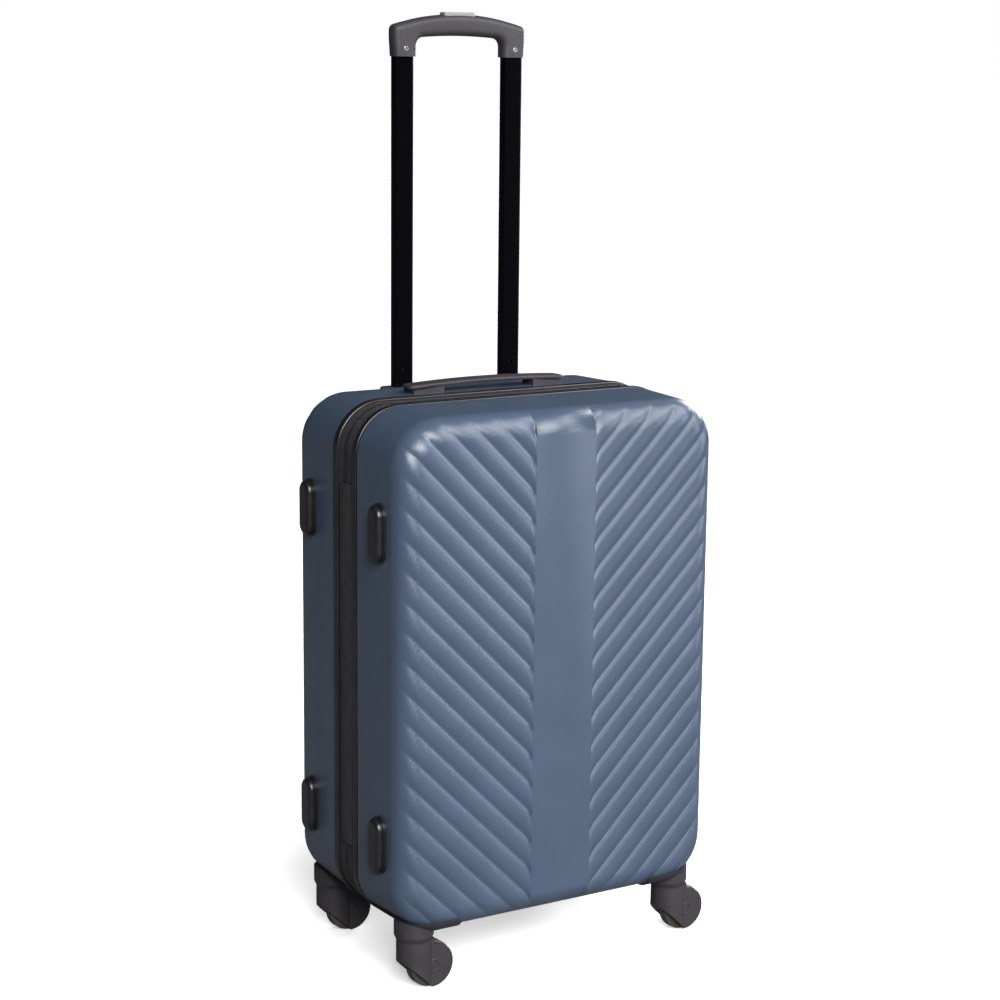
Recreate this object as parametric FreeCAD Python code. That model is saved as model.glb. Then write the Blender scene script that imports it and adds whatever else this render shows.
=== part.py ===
import FreeCAD, Part

import math
import os

from FreeCAD import Vector

# Hard shell travel case on four swivel casters.
# Origin: on the ground, under the middle of the case.  +Z up, -Y is the ribbed front, the hinge side is -X.
# All sizes are millimetres.

# ---------------------------------------------------------------- driving dimensions: the two case halves
CASE_WIDTH = 420.0
CASE_DEPTH = 262.0
SHELL_TOP = 654.0
OUTLINE_RADIUS = 55.0
FACE_RADIUS = 27.0
REAR_FACE_RADIUS = 32.0
DRAFT = 2.5
SHELL_WALL = 2.5
LINING_GAP = 0.3
LINING_WALL = 1.0
LINING_RADIUS = 12.0

ZIP_Y = -3.0
ZIP_SPLIT = 0.15
REAR_RIM_Y = 24.0
FRONT_RIM_Y = -30.0
REAR_PIPING_WIDTH = 10.0
FRONT_PIPING_WIDTH = 8.0
PIPING_PROUD = 1.0
PIPING_ROUND = 2.0
TAPE_WALL = 1.2
BEAD_WIDTH = 2.5
BEAD_PROUD = 1.5
BEAD_SUNK = 0.8

# ---------------------------------------------------------------- hinge side
GUSSET_INSET_LOW = 81.0
GUSSET_INSET_HIGH = 87.0
GUSSET_PROUD = 2.0
GUSSET_DEPTH = 6.0
GUSSET_STRIP_WIDTH = 18.0
GUSSET_WEB = 1.5
GUSSET_ROUND = 2.7

# ---------------------------------------------------------------- side feet
FOOT_LENGTH = 63.0
FOOT_WIDTH = 25.0
FOOT_HEIGHT = 9.0
FOOT_ROUND = 5.0
FOOT_FLANGE = 2.0
FOOT_FLANGE_HEIGHT = 2.0
FOOT_Y = 83.0
FOOT_INSET_LOW = 102.0
FOOT_INSET_HIGH = 129.0

# ---------------------------------------------------------------- casters
CASTER_INSET_X = 35.7
CASTER_INSET_Y = 31.7
TRAIL_ANGLE = 5.0
TRAIL = 20.0
WHEEL_RADIUS = 27.0
WHEEL_WIDTH = 15.0
WHEEL_ROUND = 3.0
WHEEL_SIDE_CLEARANCE = 0.8
WHEEL_TREAD_CLEARANCE = 0.7
HUB_RECESS = 1.5
HUB_RADIUS = 16.0
FORK_RADIUS = 20.0
FORK_CROWN = 6.0
FORK_HALF_WIDTH = 12.2
FORK_DISC_INSET = 1.6
FORK_CUT_RISE = 10.0
FORK_CUT_TRAIL = 3.0
SWIVEL_GAP = 0.3
SCREW_TURNS = (90, 210, 330)
STEM_RADIUS = 5.0
STEM_LENGTH = 7.5
RUNNING_CLEARANCE = 0.05
AXLE_RADIUS = 3.0
AXLE_HEAD_RADIUS = 4.5
AXLE_HEAD_DEPTH = 1.2
HOUSING_SKIN = 2.5
HOUSING_REACH = 82.0
HOUSING_CLEARANCE = 9.0
HOUSING_RISE = 15.0
HOUSING_RIM_GAP = 1.5
HOUSING_END_ROUND = 6.0
COLLAR_RADIUS = 20.2
COLLAR_FLARE = 22.6
COLLAR_DROP = 3.0
SCREW_RADIUS = 2.0
SCREW_CIRCLE = 13.0
SCREW_DROP = 6.0

# ---------------------------------------------------------------- telescopic handle
TUBE_X = 72.7
TUBE_REAR_INSET = 15.3
INNER_TUBE_WIDTH = 24.0
INNER_TUBE_DEPTH = 13.0
TUBE_WALL = 1.2
TUBE_CORNER = 2.5
TUBE_GAP = 1.0
OUTER_TUBE_WALL = 1.5
TUBE_COVER_GAP = 3.2
TUBE_STOW_GAP = 73.0
GRIP_STOW_GAP = 7.0
INNER_TUBE_OVERLAP = 90.0
GRIP_LEG_WIDTH = 30.5
GRIP_DEPTH = 20.0
GRIP_CORNER_RISE = 35.0
GRIP_CROWN_RISE = 48.5
GRIP_ARCH_EDGE_RISE = 21.0
GRIP_ARCH_MID_RISE = 23.7
GRIP_ROUND = 4.0
GRIP_CORNER_ROUND = 6.0
GRIP_CAVITY_LOW_RISE = 25.8
GRIP_CAVITY_HIGH_RISE = 34.5
GRIP_SCREW_RISE = 9.0
GRIP_SCREW_RADIUS = 2.6
BUTTON_HALF_LENGTH = 21.0
BUTTON_HALF_WIDTH = 7.0
BUTTON_TOP_RISE = 50.5
BUTTON_BOTTOM_RISE = 43.0
BUTTON_TRAVEL = 3.5
BUTTON_STEM = 4.0
BUTTON_CORNER = 3.0
BUTTON_ROUND = 1.5
CROSSBAR_HEIGHT = 3.0
CROSSBAR_RISE = 30.0
ROD_RADIUS = 2.5
ROD_CLEARANCE = 0.4
SPRING_WIRE = 1.0
SPRING_CLEARANCE = 0.1
SLIDE_CLEARANCE = 0.3
GUIDE_HEIGHT = 20.0
GUIDE_WALL = 2.0
PIN_RADIUS = 2.2
PIN_LENGTH = 8.0
PIN_TIP = 0.15
PIN_HOLE_CLEARANCE = 0.4
TOP_PLATE_HALF_LENGTH = 100.0
TOP_PLATE_WIDTH = 23.0
TOP_PLATE_DROP = 2.5
TOP_PLATE_DEPTH = 17.0
TOP_PLATE_ROUND = 1.2
BRACKET_INSET = 36.0
BRACKET_HEIGHT = 16.0
BRACKET_POCKET = 8.0
BRACKET_MARGIN = 7.0
BRACKET_WALL = 2.0
MARK_HOLE_RADIUS = 2.2
MARK_HOLE_RISE = 19.0

# ---------------------------------------------------------------- carry handles
HANDLE_HALF_LENGTH = 104.5
HANDLE_Y_LOW = 37.0
HANDLE_WIDTH = 24.0
HANDLE_THICKNESS = 3.0
HANDLE_END_RISE = 9.0
HANDLE_CROWN_RISE = 12.5
HANDLE_LEG_X = 92.5
HANDLE_LEG = 9.0
HANDLE_LEG_DEPTH = 16.0
HANDLE_LEG_SUNK = 11.0
HANDLE_POCKET_WALL = 1.5
HANDLE_BASE_LENGTH = 40.0
HANDLE_BASE_OUTER = 100.0
HANDLE_BASE_INNER_RISE = 7.0
HANDLE_BASE_OUTER_RISE = 3.5
HANDLE_FLANGE = 1.5
SIDE_HANDLE_GAP = 34.5

# ---------------------------------------------------------------- lock and zip sliders
LOCK_INSET = 130.0
LOCK_LENGTH = 72.0
LOCK_Y_LOW = 29.0
LOCK_WIDTH = 30.0
LOCK_PROUD = 4.0
LOCK_DEPTH = 12.0
LOCK_CORNER = 6.0
LOCK_ROUND = 1.5
DIAL_RADIUS = 6.0
DIAL_THICKNESS = 5.0
DIAL_PITCH = 9.0
DIAL_SUNK = 4.4
DIAL_COUNT = 3
DIAL_MARGIN = 14.0
DIAL_ROOM = 0.5
DIAL_CHAMFER = 0.5
DIAL_AXLE_RADIUS = 1.2
RELEASE_LENGTH = 14.0
RELEASE_WIDTH = 12.0
RELEASE_PROUD = 2.0
RELEASE_DEPTH = 7.0
RELEASE_MARGIN = 16.0
RELEASE_TRAVEL = 2.0
RELEASE_CORNER = 2.0
RELEASE_ROUND = 0.8
SLIDER_LENGTH = 14.0
SLIDER_WIDTH = 10.0
SLIDER_THICKNESS = 3.0
SLIDER_SPACING = 34.0
LUG_THICKNESS = 1.0
LUG_HEIGHT = 3.9
LUG_INSET = 1.0
LUG_HALF_LENGTH = 2.5
SLIDER_CORNER = 2.0
PULL_CORNER = 1.5
PULL_CLEARANCE = 0.2
PULL_PIN_RADIUS = 0.9
PULL_EYE_RADIUS = 2.1
PULL_THICKNESS = 1.8
PULL_LENGTH = 26.0

# ---------------------------------------------------------------- inside
STRAP_WIDTH = 25.0
STRAP_THICKNESS = 1.2
STRAP_INSET_LOW = 192.0
STRAP_INSET_HIGH = 193.0
BUCKLE_LENGTH = 44.0
BUCKLE_WIDTH = 34.0
BUCKLE_THICKNESS = 7.0
BUCKLE_CORNER = 4.0
BUCKLE_ROUND = 1.5

# ---------------------------------------------------------------- derived places
HALF_WIDTH = CASE_WIDTH / 2
HALF_DEPTH = CASE_DEPTH / 2
TUBE_Y = HALF_DEPTH - TUBE_REAR_INSET
GRIP_LEG_INSIDE = TUBE_X - GRIP_LEG_WIDTH / 2
GRIP_HALF_WIDTH = TUBE_X + GRIP_LEG_WIDTH / 2
GRIP_SCREW_DEPTH = (GRIP_DEPTH - INNER_TUBE_DEPTH) / 2
OUTER_TUBE_WIDTH = INNER_TUBE_WIDTH + 2 * (TUBE_GAP + OUTER_TUBE_WALL)
OUTER_TUBE_DEPTH = INNER_TUBE_DEPTH + 2 * (TUBE_GAP + OUTER_TUBE_WALL)
LINING_FLOOR_Y = TUBE_Y - OUTER_TUBE_DEPTH / 2 - TUBE_COVER_GAP
FORK_TOP = 2 * WHEEL_RADIUS + FORK_CROWN
FORK_CUT_HIGH = WHEEL_RADIUS + FORK_CUT_RISE
FORK_CUT_TIP = TRAIL - FORK_CUT_TRAIL
SHELL_BOTTOM = FORK_TOP + HOUSING_CLEARANCE
HOUSING_TOP = SHELL_BOTTOM + HOUSING_RISE
COLLAR_NECK = SHELL_BOTTOM - COLLAR_DROP
SCREW_FOOT = SHELL_BOTTOM - SCREW_DROP
FOOT_Z_LOW = SHELL_BOTTOM + FOOT_INSET_LOW
FOOT_Z_HIGH = SHELL_TOP - FOOT_INSET_HIGH
BRACKET_LOW = SHELL_BOTTOM + BRACKET_INSET
LOCK_Z = SHELL_TOP - LOCK_INSET
SIDE_HANDLE_Z = LOCK_Z - LOCK_LENGTH / 2 - SIDE_HANDLE_GAP - HANDLE_HALF_LENGTH
STRAP_Z = (SHELL_BOTTOM + STRAP_INSET_LOW, SHELL_TOP - STRAP_INSET_HIGH)
INNER_TUBE_BOTTOM = SHELL_TOP - INNER_TUBE_OVERLAP
HANDLE_TRAVEL = INNER_TUBE_BOTTOM - BRACKET_LOW - BRACKET_HEIGHT - TUBE_STOW_GAP
GRIP_BOTTOM = SHELL_TOP + HANDLE_TRAVEL + GRIP_STOW_GAP
GRIP_CORNER_Z = GRIP_BOTTOM + GRIP_CORNER_RISE
GRIP_CROWN_Z = GRIP_BOTTOM + GRIP_CROWN_RISE
GRIP_ARCH_EDGE_Z = GRIP_BOTTOM + GRIP_ARCH_EDGE_RISE
GRIP_ARCH_MID_Z = GRIP_BOTTOM + GRIP_ARCH_MID_RISE
GRIP_CAVITY_LOW = GRIP_BOTTOM + GRIP_CAVITY_LOW_RISE
GRIP_CAVITY_HIGH = GRIP_BOTTOM + GRIP_CAVITY_HIGH_RISE
BUTTON_TOP = GRIP_BOTTOM + BUTTON_TOP_RISE
BUTTON_BOTTOM = GRIP_BOTTOM + BUTTON_BOTTOM_RISE
CROSSBAR_LOW = GRIP_BOTTOM + CROSSBAR_RISE
GUIDE_BOTTOM = INNER_TUBE_BOTTOM - GUIDE_HEIGHT / 2
TOP_PLATE_TOP = SHELL_TOP - TOP_PLATE_DROP
TOP_PLATE_FOOT = TOP_PLATE_TOP - TOP_PLATE_DEPTH
BEYOND = 40.0
TINY = 1e-6


# ---------------------------------------------------------------- small modelling helpers
def box(x0, x1, y0, y1, z0, z1):
    """A block between two corners, given as low and high along each axis."""
    return Part.makeBox(x1 - x0, y1 - y0, z1 - z0, Vector(x0, y0, z0))


def edges_along(shape, direction):
    """The straight edges of a block that run along one axis."""
    found = []
    for edge in shape.Edges:
        a, b = edge.Vertexes[0].Point, edge.Vertexes[-1].Point
        if abs(abs((b - a).dot(direction)) - (b - a).Length) < TINY:
            found.append(edge)
    return found


X_AXIS = Vector(1, 0, 0)
Y_AXIS = Vector(0, 1, 0)
Z_AXIS = Vector(0, 0, 1)


def soft_box(x0, x1, y0, y1, z0, z1, radius, axis):
    """A block whose four edges along one axis are rounded."""
    block = box(x0, x1, y0, y1, z0, z1)
    return block.makeFillet(radius, edges_along(block, axis))


def edges_at(shape, axis, level):
    """The edges that lie wholly in the plane where one coordinate has one value."""
    low = {"x": "XMin", "y": "YMin", "z": "ZMin"}[axis]
    high = {"x": "XMax", "y": "YMax", "z": "ZMax"}[axis]
    found = []
    for edge in shape.Edges:
        bounds = edge.BoundBox
        if abs(getattr(bounds, low) - level) < 1e-4 and abs(getattr(bounds, high) - level) < 1e-4:
            found.append(edge)
    return found


def cylinder(radius, height, base, direction):
    return Part.makeCylinder(radius, height, base, direction)


def fuse(first, *others):
    """One solid from touching or overlapping pieces, with the inner faces removed."""
    return first.multiFuse(list(others)).removeSplitter()


def cut(shape, *tools):
    return shape.cut(list(tools))


def group(solids):
    return Part.makeCompound(solids)


def mirrored_x(shape):
    return shape.mirror(Vector(0, 0, 0), X_AXIS)


def solids_only(shape):
    """The same shape as one solid, or as a group when it holds several."""
    return shape.Solids[0] if len(shape.Solids) == 1 else group(shape.Solids)


def save(shape, name):
    shape.exportStep("parts/" + name + ".step")


# ---------------------------------------------------------------- the case outline
def outline_block(inset, y0, y1):
    """The front outline of the case, inset all round, as a block from y0 to y1."""
    low, high = sorted((y0, y1))
    return soft_box(-HALF_WIDTH + inset, HALF_WIDTH - inset, low, high,
                    SHELL_BOTTOM + inset, SHELL_TOP - inset, OUTLINE_RADIUS - inset, Y_AXIS)


def outline_wire(inset, y):
    slab = outline_block(inset, y, y + 1)
    return [face for face in slab.Faces if face.BoundBox.YMax < y + TINY * 10][0].OuterWire


def rim_of(side):
    """The rim of one half, side +1 for the rear and -1 for the front."""
    return REAR_RIM_Y if side > 0 else FRONT_RIM_Y


def draft_at(side, y):
    """How far the drafted walls of a half have drawn in at a distance from its rim."""
    depth = HALF_DEPTH - abs(rim_of(side))
    return DRAFT * side * (y - rim_of(side)) / depth


def case_block(side, inset, y_open, y_face, face_radius):
    """A closed block with the drafted outline of one half and a rounded edge around its outer face."""
    open_wire = outline_wire(inset + draft_at(side, y_open), y_open)
    face_wire = outline_wire(inset + draft_at(side, y_face), y_face)
    block = Part.makeLoft([open_wire, face_wire], True, True)
    return block.makeFillet(face_radius, edges_at(block, "y", y_face))


def outline_ring(inset_out, inset_in, y0, y1):
    return cut(outline_block(inset_out, y0, y1), outline_block(inset_in, y0, y1))


def face_radius_of(side):
    return REAR_FACE_RADIUS if side > 0 else FACE_RADIUS


def outside_of(side):
    """The whole outer volume of one half."""
    return case_block(side, 0.0, rim_of(side), side * HALF_DEPTH, face_radius_of(side))


def inside_of(side):
    """The volume inside the wall of one half, run past the rim so that it cuts it open."""
    return case_block(side, SHELL_WALL, rim_of(side) - side * BEYOND, side * (HALF_DEPTH - SHELL_WALL),
                      face_radius_of(side) - SHELL_WALL)


def make_lining(side, floor_y, edge_radius):
    """A cloth tray just inside the shell."""
    inset = SHELL_WALL + LINING_GAP
    outer = case_block(side, inset, rim_of(side), floor_y, edge_radius)
    hollow = case_block(side, inset + LINING_WALL, rim_of(side) - side * BEYOND, floor_y - side * LINING_WALL,
                        edge_radius - LINING_WALL)
    return cut(outer, hollow)


def make_piping(y0, y1):
    """The rounded edge strip that closes the rim of a half."""
    outer = outline_block(-PIPING_PROUD, y0, y1)
    rounded = outer.makeFillet(PIPING_ROUND, edges_at(outer, "y", y0) + edges_at(outer, "y", y1))
    return cut(rounded, outline_block(SHELL_WALL + TAPE_WALL, y0, y1))


GUSSET_LOW = SHELL_BOTTOM + GUSSET_INSET_LOW
GUSSET_HIGH = SHELL_TOP - GUSSET_INSET_HIGH


def make_stringer(y_edge, side):
    """One half of the zip: a tape from the piping to the parting plane, with a row of teeth as a bead."""
    y_split = ZIP_Y + side * ZIP_SPLIT
    tape = outline_ring(SHELL_WALL, SHELL_WALL + TAPE_WALL, y_edge, y_split)
    bead = outline_ring(SHELL_WALL - BEAD_PROUD, SHELL_WALL + TAPE_WALL + BEAD_SUNK, y_split,
                        y_split + side * BEAD_WIDTH)
    low, high = sorted((y_edge, y_split))
    hinge_side = box(-HALF_WIDTH - BEYOND, -HALF_WIDTH + OUTLINE_RADIUS, low, high,
                     GUSSET_LOW - LINING_GAP, GUSSET_HIGH + LINING_GAP)
    return solids_only(cut(fuse(tape, bead), hinge_side))


def make_gusset():
    """The padded cloth strip that joins the two halves along the hinge side."""
    front = FRONT_RIM_Y + FRONT_PIPING_WIDTH + LINING_GAP
    rear = REAR_RIM_Y - REAR_PIPING_WIDTH - LINING_GAP
    outer_x = -HALF_WIDTH - GUSSET_PROUD
    strip = soft_box(outer_x, outer_x + GUSSET_DEPTH, front, front + GUSSET_STRIP_WIDTH,
                     GUSSET_LOW, GUSSET_HIGH, GUSSET_ROUND, Z_AXIS)
    web_x = -HALF_WIDTH + SHELL_WALL
    web = box(web_x, web_x + GUSSET_WEB, front + GUSSET_STRIP_WIDTH / 2, rear, GUSSET_LOW, GUSSET_HIGH)
    return fuse(strip, web)


# ---------------------------------------------------------------- side feet
def make_foot(side_y, z):
    """A long rounded foot on a thin flange, standing off the hinge side of the case."""
    face_x = -HALF_WIDTH
    y = side_y * FOOT_Y

    def pad(length, width, height):
        return soft_box(face_x - height, face_x + 2 * DRAFT, y - width / 2, y + width / 2, z - length / 2,
                        z + length / 2, width / 2 - 0.05, X_AXIS)

    flange = pad(FOOT_LENGTH + 2 * FOOT_FLANGE, FOOT_WIDTH + 2 * FOOT_FLANGE, FOOT_FLANGE_HEIGHT)
    body = pad(FOOT_LENGTH, FOOT_WIDTH, FOOT_HEIGHT)
    body = body.makeFillet(FOOT_ROUND, edges_at(body, "x", face_x - FOOT_HEIGHT))
    return solids_only(cut(fuse(body, flange), outside_of(side_y)))


def foot_screw(side_y, z):
    """A screw from inside the shell wall into the middle of a foot."""
    start = Vector(-HALF_WIDTH + FOOT_HEIGHT / 2, side_y * FOOT_Y, z)
    rod = cylinder(SCREW_RADIUS, FOOT_HEIGHT, start, -X_AXIS)
    return solids_only(cut(rod, inside_of(side_y)))


# ---------------------------------------------------------------- casters
def caster_axis(side_x, side_y):
    return Vector(side_x * (HALF_WIDTH - CASTER_INSET_X), side_y * (HALF_DEPTH - CASTER_INSET_Y), 0)


def place_caster(shape, axis):
    """Turns a piece made with its trail along +X to the resting direction and moves it to its swivel axis."""
    placed = shape.copy()
    placed.rotate(Vector(0, 0, 0), Z_AXIS, TRAIL_ANGLE)
    placed.translate(axis)
    return placed


def make_fork():
    """The swivelling yoke: a stem and drum above, and two cheeks with a slanted leading edge."""
    hub = Vector(TRAIL, 0, WHEEL_RADIUS)
    disc_radius = WHEEL_RADIUS - FORK_DISC_INSET
    slot_half = WHEEL_WIDTH / 2 + WHEEL_SIDE_CLEARANCE
    side_view = fuse(
        cylinder(disc_radius, 2 * FORK_RADIUS, hub - Vector(0, FORK_RADIUS, 0), Y_AXIS),
        box(-FORK_RADIUS, FORK_RADIUS, -FORK_RADIUS, FORK_RADIUS, WHEEL_RADIUS, FORK_TOP),
        box(-FORK_RADIUS, TRAIL, -FORK_RADIUS, FORK_RADIUS, FORK_DISC_INSET, FORK_TOP))
    plan = fuse(
        cylinder(FORK_RADIUS, FORK_TOP, Vector(0, 0, 0), Z_AXIS),
        box(0, TRAIL + WHEEL_RADIUS, -FORK_HALF_WIDTH, FORK_HALF_WIDTH, 0, FORK_TOP))
    corners = [(-FORK_RADIUS, FORK_CUT_HIGH), (FORK_CUT_TIP, FORK_DISC_INSET), (FORK_CUT_TIP, -1),
               (-BEYOND, -1), (-BEYOND, FORK_CUT_HIGH), (-FORK_RADIUS, FORK_CUT_HIGH)]
    lead = Part.Face(Part.makePolygon([Vector(x, -BEYOND, z) for x, z in corners]))
    lead = lead.extrude(Vector(0, 2 * BEYOND, 0))
    slot_radius = WHEEL_RADIUS + WHEEL_TREAD_CLEARANCE
    slot = cylinder(slot_radius, 2 * slot_half, hub - Vector(0, slot_half, 0), Y_AXIS)
    yoke = cut(side_view.common(plan), lead, slot, make_axle())
    stem = cylinder(STEM_RADIUS, STEM_LENGTH + 1, Vector(0, 0, FORK_TOP - 1), Z_AXIS)
    return fuse(yoke, stem)


def make_axle():
    """The wheel's axle with a flat head sunk in each cheek."""
    hub = Vector(TRAIL, 0, WHEEL_RADIUS)
    shaft = cylinder(AXLE_RADIUS, 2 * FORK_HALF_WIDTH, hub - Vector(0, FORK_HALF_WIDTH, 0), Y_AXIS)
    heads = []
    for side in (-1, 1):
        base = hub + Vector(0, side * FORK_HALF_WIDTH, 0)
        heads.append(cylinder(AXLE_HEAD_RADIUS, AXLE_HEAD_DEPTH, base, Vector(0, -side, 0)))
    return fuse(shaft, *heads)


def make_wheel():
    """A wheel with a rounded tread and a shallow recess around the hub on both faces."""
    hub = Vector(TRAIL, 0, WHEEL_RADIUS)
    disc = cylinder(WHEEL_RADIUS, WHEEL_WIDTH, hub - Vector(0, WHEEL_WIDTH / 2, 0), Y_AXIS)
    disc = disc.makeFillet(WHEEL_ROUND, disc.Edges[:1] + disc.Edges[2:3])
    bore = cylinder(AXLE_RADIUS + RUNNING_CLEARANCE, WHEEL_WIDTH, hub - Vector(0, WHEEL_WIDTH / 2, 0), Y_AXIS)
    recesses = []
    for side in (-1, 1):
        face = hub + Vector(0, side * WHEEL_WIDTH / 2, 0)
        ring = cylinder(HUB_RADIUS, HUB_RECESS, face, Vector(0, -side, 0))
        boss = cylinder(AXLE_RADIUS * 2, HUB_RECESS, face, Vector(0, -side, 0))
        recesses.append(cut(ring, boss))
    return cut(disc, bore, *recesses)


def housing_screws(side_x, side_y):
    """Three screws per caster that pass through the shell wall into the housing."""
    axis = caster_axis(side_x, side_y)
    screws = []
    for turn in SCREW_TURNS:
        angle = math.radians(turn)
        foot = axis + Vector(SCREW_CIRCLE * math.cos(angle), SCREW_CIRCLE * math.sin(angle), SCREW_FOOT)
        rod = cylinder(SCREW_RADIUS, SHELL_BOTTOM, foot, Z_AXIS)
        screws.append(solids_only(cut(rod, inside_of(side_y))))
    return screws


def make_housing(side_x, side_y, screws):
    """A corner cap over the bottom of the shell, with the collar that the fork swivels in."""
    rim = rim_of(side_y)
    skin = case_block(side_y, -HOUSING_SKIN, rim, side_y * (HALF_DEPTH + HOUSING_SKIN),
                      face_radius_of(side_y) + HOUSING_SKIN)
    x_end = HALF_WIDTH - HOUSING_REACH
    y_end = rim + side_y * HOUSING_RIM_GAP
    y_far = side_y * (HALF_DEPTH + BEYOND)
    window = box(x_end, HALF_WIDTH + BEYOND, min(y_end, y_far), max(y_end, y_far), 0, HOUSING_TOP)
    corner = []
    for edge in edges_along(window, Y_AXIS):
        if abs(edge.BoundBox.XMin - x_end) < 1 and edge.BoundBox.ZMin > 1:
            corner.append(edge)
    window = window.makeFillet(HOUSING_END_ROUND, corner)
    axis = caster_axis(1, side_y)
    collar_low = FORK_TOP + SWIVEL_GAP
    neck_foot = axis + Vector(0, 0, collar_low)
    neck = Part.makeCone(COLLAR_RADIUS, COLLAR_FLARE, COLLAR_NECK - collar_low, neck_foot, Z_AXIS)
    drum = cylinder(COLLAR_FLARE, HOUSING_TOP - COLLAR_NECK, axis + Vector(0, 0, COLLAR_NECK), Z_AXIS)
    bore_length = STEM_LENGTH + 2 * SWIVEL_GAP
    bore = cylinder(STEM_RADIUS + RUNNING_CLEARANCE, bore_length, axis + Vector(0, 0, FORK_TOP), Z_AXIS)
    cap = fuse(skin.common(window), neck, drum)
    whole = solids_only(cut(cap, outside_of(side_y), bore))
    if side_x < 0:
        whole = mirrored_x(whole)
    return solids_only(cut(whole, *screws))


# ---------------------------------------------------------------- telescopic handle
def tube_block(side_x, width, depth, z0, z1):
    """A rounded rectangular bar on the axis of one telescopic tube."""
    x = side_x * TUBE_X
    half = width / 2
    return soft_box(x - half, x + half, TUBE_Y - depth / 2, TUBE_Y + depth / 2, z0, z1, TUBE_CORNER, Z_AXIS)


def make_outer_tube(side_x):
    low = BRACKET_LOW + BRACKET_HEIGHT - BRACKET_POCKET
    body = tube_block(side_x, OUTER_TUBE_WIDTH, OUTER_TUBE_DEPTH, low, TOP_PLATE_FOOT)
    hollow = tube_block(side_x, OUTER_TUBE_WIDTH - 2 * OUTER_TUBE_WALL,
                        OUTER_TUBE_DEPTH - 2 * OUTER_TUBE_WALL, low, TOP_PLATE_FOOT)
    hole_radius = PIN_RADIUS + PIN_HOLE_CLEARANCE
    holes = []
    for drop in (0, HANDLE_TRAVEL):
        centre = Vector(side_x * TUBE_X, TUBE_Y, INNER_TUBE_BOTTOM - drop)
        holes.append(cylinder(hole_radius, OUTER_TUBE_WIDTH, centre, Vector(side_x, 0, 0)))
    return cut(body, hollow, *holes)


def make_inner_tube(side_x):
    top = GRIP_ARCH_MID_Z
    body = tube_block(side_x, INNER_TUBE_WIDTH, INNER_TUBE_DEPTH, INNER_TUBE_BOTTOM, top)
    hollow = tube_block(side_x, INNER_TUBE_WIDTH - 2 * TUBE_WALL, INNER_TUBE_DEPTH - 2 * TUBE_WALL,
                        INNER_TUBE_BOTTOM, top)
    mark_centre = Vector(side_x * TUBE_X, TUBE_Y, SHELL_TOP + MARK_HOLE_RISE)
    mark = cylinder(MARK_HOLE_RADIUS, INNER_TUBE_DEPTH / 2, mark_centre, -Y_AXIS)
    socket = tube_block(side_x, INNER_TUBE_WIDTH + TUBE_WALL, INNER_TUBE_DEPTH + TUBE_WALL,
                        GUIDE_BOTTOM, GUIDE_BOTTOM + GUIDE_HEIGHT)
    return cut(body, hollow, mark, socket)


def make_guide(side_x):
    """The plastic foot of an inner tube, which slides in the outer tube and carries a lock pin."""
    width = OUTER_TUBE_WIDTH - 2 * OUTER_TUBE_WALL - 2 * SLIDE_CLEARANCE
    depth = OUTER_TUBE_DEPTH - 2 * OUTER_TUBE_WALL - 2 * SLIDE_CLEARANCE
    body = tube_block(side_x, width, depth, GUIDE_BOTTOM, GUIDE_BOTTOM + GUIDE_HEIGHT)
    bore_radius = PIN_RADIUS + RUNNING_CLEARANCE
    middle = Vector(side_x * TUBE_X, TUBE_Y, INNER_TUBE_BOTTOM)
    bore = cylinder(bore_radius, width, middle, Vector(side_x, 0, 0))
    back = cylinder(bore_radius, width / 2 - GUIDE_WALL, middle, Vector(-side_x, 0, 0))
    return cut(body, bore, back)


def make_lock_pin(side_x):
    half_guide = (OUTER_TUBE_WIDTH - 2 * OUTER_TUBE_WALL) / 2 - SLIDE_CLEARANCE
    tip = Vector(side_x * (TUBE_X + half_guide + PIN_TIP), TUBE_Y, INNER_TUBE_BOTTOM)
    return cylinder(PIN_RADIUS, PIN_LENGTH, tip, Vector(-side_x, 0, 0))


def make_grip():
    """The pull grip as one block: two legs, an arched bar and room inside for the release gear."""
    y0 = TUBE_Y - GRIP_DEPTH / 2
    y1 = TUBE_Y + GRIP_DEPTH / 2

    def at(x, z):
        return Vector(x, y0, z)

    out, leg = GRIP_HALF_WIDTH, GRIP_LEG_INSIDE
    edges = [
        Part.LineSegment(at(-out, GRIP_BOTTOM), at(-out, GRIP_CORNER_Z)),
        Part.Arc(at(-out, GRIP_CORNER_Z), at(0, GRIP_CROWN_Z), at(out, GRIP_CORNER_Z)),
        Part.LineSegment(at(out, GRIP_CORNER_Z), at(out, GRIP_BOTTOM)),
        Part.LineSegment(at(out, GRIP_BOTTOM), at(leg, GRIP_BOTTOM)),
        Part.LineSegment(at(leg, GRIP_BOTTOM), at(leg, GRIP_ARCH_EDGE_Z)),
        Part.Arc(at(leg, GRIP_ARCH_EDGE_Z), at(0, GRIP_ARCH_MID_Z), at(-leg, GRIP_ARCH_EDGE_Z)),
        Part.LineSegment(at(-leg, GRIP_ARCH_EDGE_Z), at(-leg, GRIP_BOTTOM)),
        Part.LineSegment(at(-leg, GRIP_BOTTOM), at(-out, GRIP_BOTTOM)),
    ]
    block = Part.Face(Part.Wire([e.toShape() for e in edges])).extrude(Vector(0, y1 - y0, 0))
    corners = [e for e in edges_along(block, Y_AXIS) if abs(e.BoundBox.ZMin - GRIP_CORNER_Z) < 1]
    block = block.makeFillet(GRIP_CORNER_ROUND, corners)
    rims = edges_at(block, "y", y0) + edges_at(block, "y", y1)
    tops = [e for e in rims if e.BoundBox.ZMin > GRIP_BOTTOM + 1 and e.BoundBox.ZMax > GRIP_ARCH_MID_Z + 1]
    return block.makeFillet(GRIP_ROUND, tops)


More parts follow.
